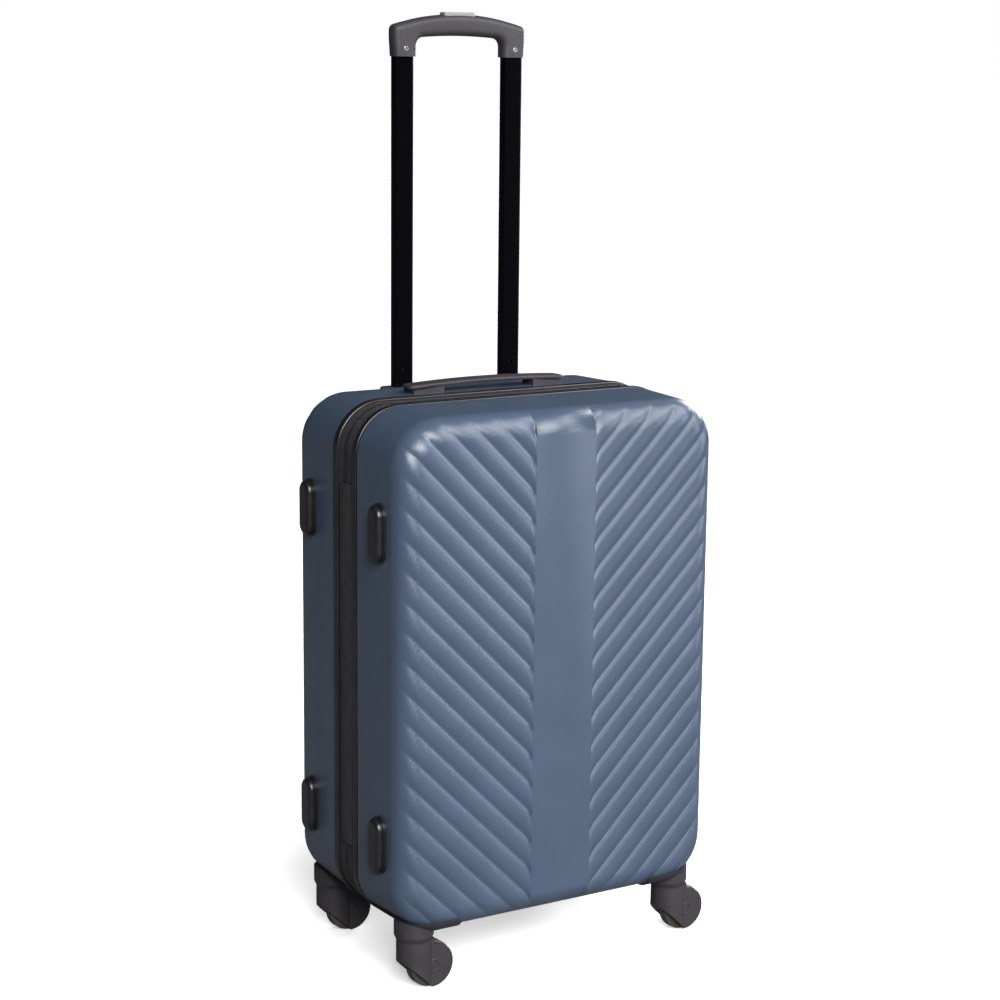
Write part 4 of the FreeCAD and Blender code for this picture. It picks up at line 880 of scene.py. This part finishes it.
def grip_moulding(node, side):
    """Half of the grip: side is -1 for the half that faces the front."""
    low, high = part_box(node)
    low.z = grip_low.z
    outer = high.x
    arch_z = low.z + GRIP_ARCH_RISE
    bm = bmesh.new()
    bmesh.ops.create_cube(bm, size=1)
    bmesh.ops.scale(bm, vec=(2 * outer, high.y - low.y, high.z - arch_z), verts=bm.verts)
    bmesh.ops.translate(bm, vec=(0, (low.y + high.y) / 2, (high.z + arch_z) / 2), verts=bm.verts)
    beyond_leg = grip_leg_inside + 2 * GRIP_ARMPIT
    stations = [-grip_leg_inside, grip_leg_inside, -beyond_leg, beyond_leg]
    half_count = int((grip_leg_inside - GRIP_ARMPIT) / GRIP_STEP)
    stations += [step * GRIP_STEP for step in range(-half_count, half_count + 1)]
    for station in stations:
        if abs(station) < outer:
            slice_mesh(bm, lambda p: True, Vector((station, 0, 0)), X_AXIS)
    soles = [f for f in bm.faces if f.normal.z < -0.9 and abs(f.calc_center_median().x) > grip_leg_inside]
    legs = bmesh.ops.extrude_face_region(bm, geom=soles)
    leg_corners = [v for v in legs["geom"] if isinstance(v, bmesh.types.BMVert)]
    bmesh.ops.translate(bm, vec=(0, 0, low.z - arch_z), verts=leg_corners)
    bmesh.ops.delete(bm, geom=soles, context="FACES")
    for corner in bm.verts:
        share = corner.co.x / outer
        if corner.co.z > high.z - MM:
            corner.co.z -= GRIP_CROWN_DROP * share * share
        elif corner.co.z > arch_z - MM and abs(corner.co.x) <= grip_leg_inside + MM:
            corner.co.z += GRIP_ARCH_BOW * (1 - (corner.co.x / grip_leg_inside) ** 2)
        elif corner.co.z < low.z + MM and abs(share) > 0.99:
            corner.co.x -= math.copysign(GRIP_FLARE, share)
    across = [e for e in bm.edges if abs(e.verts[0].co.y - e.verts[1].co.y) > MM]
    shoulders = [e for e in across if abs(e.verts[0].co.x) > outer - MM and e.verts[0].co.z > arch_z + MM]
    armpits = [e for e in across if abs(abs(e.verts[0].co.x) - grip_leg_inside) < MM / 2
               and abs(e.verts[0].co.z - arch_z) < MM / 2]
    for edges, radius in ((shoulders, GRIP_CORNER), (armpits, GRIP_ARMPIT)):
        bmesh.ops.bevel(bm, geom=edges, offset=radius, offset_type="OFFSET", segments=8, profile=0.5,
                        affect="EDGES", material=-1)
    open_y = low.y if side < 0 else high.y
    parting_y = high.y if side < 0 else low.y
    for rim_y, radius, steps in ((open_y, GRIP_RIM, 6), (parting_y, PARTING_RIM, 1)):
        rims = []
        for edge in bm.edges:
            at_rim = all(abs(v.co.y - rim_y) < MM / 10 for v in edge.verts)
            above_sole = any(v.co.z > low.z + MM for v in edge.verts)
            if at_rim and above_sole and edge.calc_face_angle(0) > 1:
                rims.append(edge)
        bmesh.ops.bevel(bm, geom=rims, offset=radius, offset_type="OFFSET", segments=steps, profile=0.5,
                        affect="EDGES", material=-1)
    return bm


for node, side in (("grip_front_half", -1), ("grip_rear_half", 1)):
    grip_bm = grip_moulding(node, side)
    make_piece("pull_" + node, grip_bm, "trolley_handle", "dark_plastic", [node], MOULDING_SHARP)

# %% [markdown]
# Two steel screws hold the halves together, one in the front of each leg.  Each is turned in one go:
# a stepped line from the rim to the bottom of its socket, spun round the axis of the screw.

# %% Turned pieces
TURN_STEPS = 40


def turned_piece(name, body, slot_name, centre, side, section, replaces=()):
    """Spins a stepped line round an axis along Y: side is -1 for a face that looks to -Y."""
    bm = bmesh.new()
    corners = [bm.verts.new(centre + Vector((radius, side * out, 0))) for radius, out in section]
    edges = [bm.edges.new(pair) for pair in zip(corners, corners[1:])]
    bmesh.ops.spin(bm, geom=corners + edges, cent=centre, axis=Y_AXIS, angle=2 * math.pi, steps=TURN_STEPS,
                   use_merge=True, use_duplicate=False)
    bmesh.ops.remove_doubles(bm, verts=bm.verts, dist=0.01 * MM)
    bmesh.ops.holes_fill(bm, edges=[e for e in bm.edges if e.is_boundary], sides=0)
    bmesh.ops.recalc_face_normals(bm, faces=bm.faces)
    return make_piece(name, bm, body, slot_name, replaces)


SCREW_SECTION = [(2.6 * MM, -1.5 * MM), (2.6 * MM, 0.15 * MM), (2.3 * MM, 0.35 * MM), (1.7 * MM, 0.35 * MM),
                 (1.35 * MM, 0.0), (1.2 * MM, -1.3 * MM), (0, -1.4 * MM)]
screws_low, screws_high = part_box("grip_screws")
screw_z = (screws_low.z + screws_high.z) / 2
for side, replaced in ((-1, ["grip_screws"]), (1, [])):
    screw_centre = Vector((side * abs(tube_mid_x), screws_low.y, screw_z))
    side_name = "left" if side < 0 else "right"
    turned_piece("grip_screw_" + side_name, "trolley_handle", "steel", screw_centre, -1, SCREW_SECTION,
                 replaced)

# %% [markdown]
# The button comes back up on a short coil of spring wire that sits under its crossbar.  The round
# end of the wire is carried along a screw line: the same spin that turns a screw, with a little rise
# in every step.

# %% The spring under the button
SPRING_WIRE = 0.25 * MM
SPRING_TURNS = 3
WIRE_SIDES = 8
STEPS_PER_TURN = 24
spring_low, spring_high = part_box("button_spring")
spring_centre = (spring_low + spring_high) / 2
coil_radius = (spring_high.x - spring_low.x) / 2 - SPRING_WIRE
spring_height = spring_high.z - spring_low.z
coil_rise = spring_height - 2 * SPRING_WIRE
spring_bm = bmesh.new()
stand = Matrix.Translation((spring_centre.x + coil_radius, spring_centre.y, spring_low.z + SPRING_WIRE))
bmesh.ops.create_circle(spring_bm, cap_ends=True, radius=SPRING_WIRE, segments=WIRE_SIDES,
                        matrix=stand @ Matrix.Rotation(math.pi / 2, 4, "X"))
coil_steps = SPRING_TURNS * STEPS_PER_TURN
bmesh.ops.spin(spring_bm, geom=spring_bm.faces[:], cent=spring_centre, axis=Z_AXIS,
               dvec=(0, 0, coil_rise / coil_steps), angle=2 * math.pi * SPRING_TURNS, steps=coil_steps,
               use_merge=False, use_duplicate=False)
bmesh.ops.recalc_face_normals(spring_bm, faces=spring_bm.faces)
coil = make_piece("button_coil_spring", spring_bm, "trolley_handle", "steel", ["button_spring"])
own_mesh(coil)
print("spring", round(spring_height / MM, 2), "mm high,", SPRING_TURNS, "turns")

# %% [markdown]
# ## The carry handles
#
# Each carry handle is a springy strap of plastic with two short legs.  A bar is sliced into steps
# and bowed, its corners are rounded in plan, and then all its rims are softened.  The same handle
# serves the top and the right side: it is made lying along X and a matrix stands it up.

# %% Top and side carry handles
BAR_THICKNESS = 4.6 * MM
BAR_END_DROP = 3.5 * MM
BAR_CORNER = 7 * MM
BAR_RIM = 1.9 * MM
BAR_STEP = 9 * MM
LEG_RIM = 1 * MM


def carry_bar(length, width, leg_depth):
    """A handle that lies along X with the top of its crown at the origin."""
    bm = bmesh.new()
    bmesh.ops.create_cube(bm, size=1)
    bmesh.ops.scale(bm, vec=(length, width, BAR_THICKNESS), verts=bm.verts)
    bmesh.ops.translate(bm, vec=(0, 0, -BAR_THICKNESS / 2), verts=bm.verts)
    uprights = [e for e in bm.edges if abs(e.verts[0].co.z - e.verts[1].co.z) > MM]
    bmesh.ops.bevel(bm, geom=uprights, offset=BAR_CORNER, offset_type="OFFSET", segments=6, profile=0.5,
                    affect="EDGES", material=-1)
    steps = int(length / 2 / BAR_STEP)
    for step in range(-steps, steps + 1):
        slice_mesh(bm, lambda p: True, Vector((step * BAR_STEP, 0, 0)), X_AXIS)
    rims = [e for e in bm.edges if e.calc_face_angle(0) > 1]
    bmesh.ops.bevel(bm, geom=rims, offset=BAR_RIM, offset_type="OFFSET", segments=4, profile=0.5,
                    affect="EDGES", material=-1)
    for corner in bm.verts:
        corner.co.z -= BAR_END_DROP * (2 * corner.co.x / length) ** 2
    for side in (-1, 1):
        leg_top = -BAR_END_DROP - BAR_THICKNESS / 2
        leg_size = Vector((2 * LEG_HALF.x, 2 * LEG_HALF.y, leg_depth + leg_top))
        leg_place = Matrix.Translation((side * LEG_CENTRE, 0, (leg_top - leg_depth) / 2))
        leg = bmesh.ops.create_cube(bm, size=1, matrix=leg_place @ Matrix.Diagonal((*leg_size, 1)))
        leg_edges = list({e for v in leg["verts"] for e in v.link_edges})
        bmesh.ops.bevel(bm, geom=leg_edges, offset=LEG_RIM, offset_type="OFFSET", segments=3, profile=0.5,
                        affect="EDGES", material=-1)
    return bm


bar_width = top_bar_high.y - top_bar_low.y
top_bar = carry_bar(top_bar_high.x - top_bar_low.x, bar_width, top_bar_high.z - top_bar_low.z)
bmesh.ops.translate(top_bar, vec=(0, bar_y, top_bar_high.z), verts=top_bar.verts)
make_piece("top_carry_bar", top_bar, "top_carry_handle", "dark_plastic", ["top_handle_grip"], MOULDING_SHARP)
side_bar = carry_bar(side_bar_high.z - side_bar_low.z, bar_width, side_bar_high.x - side_bar_low.x)
stand_up = Matrix.Translation((side_bar_high.x, bar_y, side_z)) @ Matrix.Rotation(math.pi / 2, 4, "Y")
bmesh.ops.transform(side_bar, matrix=stand_up, verts=side_bar.verts)
make_piece("side_carry_bar", side_bar, "side_carry_handle", "dark_plastic", ["side_handle_grip"],
           MOULDING_SHARP)

# %% [markdown]
# ## Hub caps
#
# A moulded cap with a raised ring hides each end of an axle.  Its section is a short stepped line,
# and one full spin makes the cap.  It stands square to the case, as the axle does within five
# degrees, so one section serves all eight.

# %% Caps on the axle ends
CAP_RADIUS = 7.6 * MM
CAP_RING = 1.5 * MM
CAP_PROUD = 0.9 * MM
CAP_SECTION = [(CAP_RADIUS, -2.4 * MM), (CAP_RADIUS, 0.5 * MM), (CAP_RADIUS - 0.5 * MM, CAP_PROUD),
               (CAP_RADIUS - CAP_RING, CAP_PROUD), (CAP_RADIUS - CAP_RING - 0.5 * MM, 0.25 * MM),
               (CAP_RADIUS * 0.45, 0.3 * MM), (CAP_RADIUS * 0.2, 0.5 * MM), (0, 0.55 * MM)]
for place in ("front_left", "front_right", "rear_left", "rear_right"):
    axle_low, axle_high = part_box("axle_" + place)
    for side, end, end_y in ((-1, "front", axle_low.y), (1, "rear", axle_high.y)):
        centre = Vector(((axle_low.x + axle_high.x) / 2, end_y, (axle_low.z + axle_high.z) / 2))
        turned_piece("hub_cap_" + place + "_" + end, "caster_" + place, "dark_plastic", centre, side,
                     CAP_SECTION)
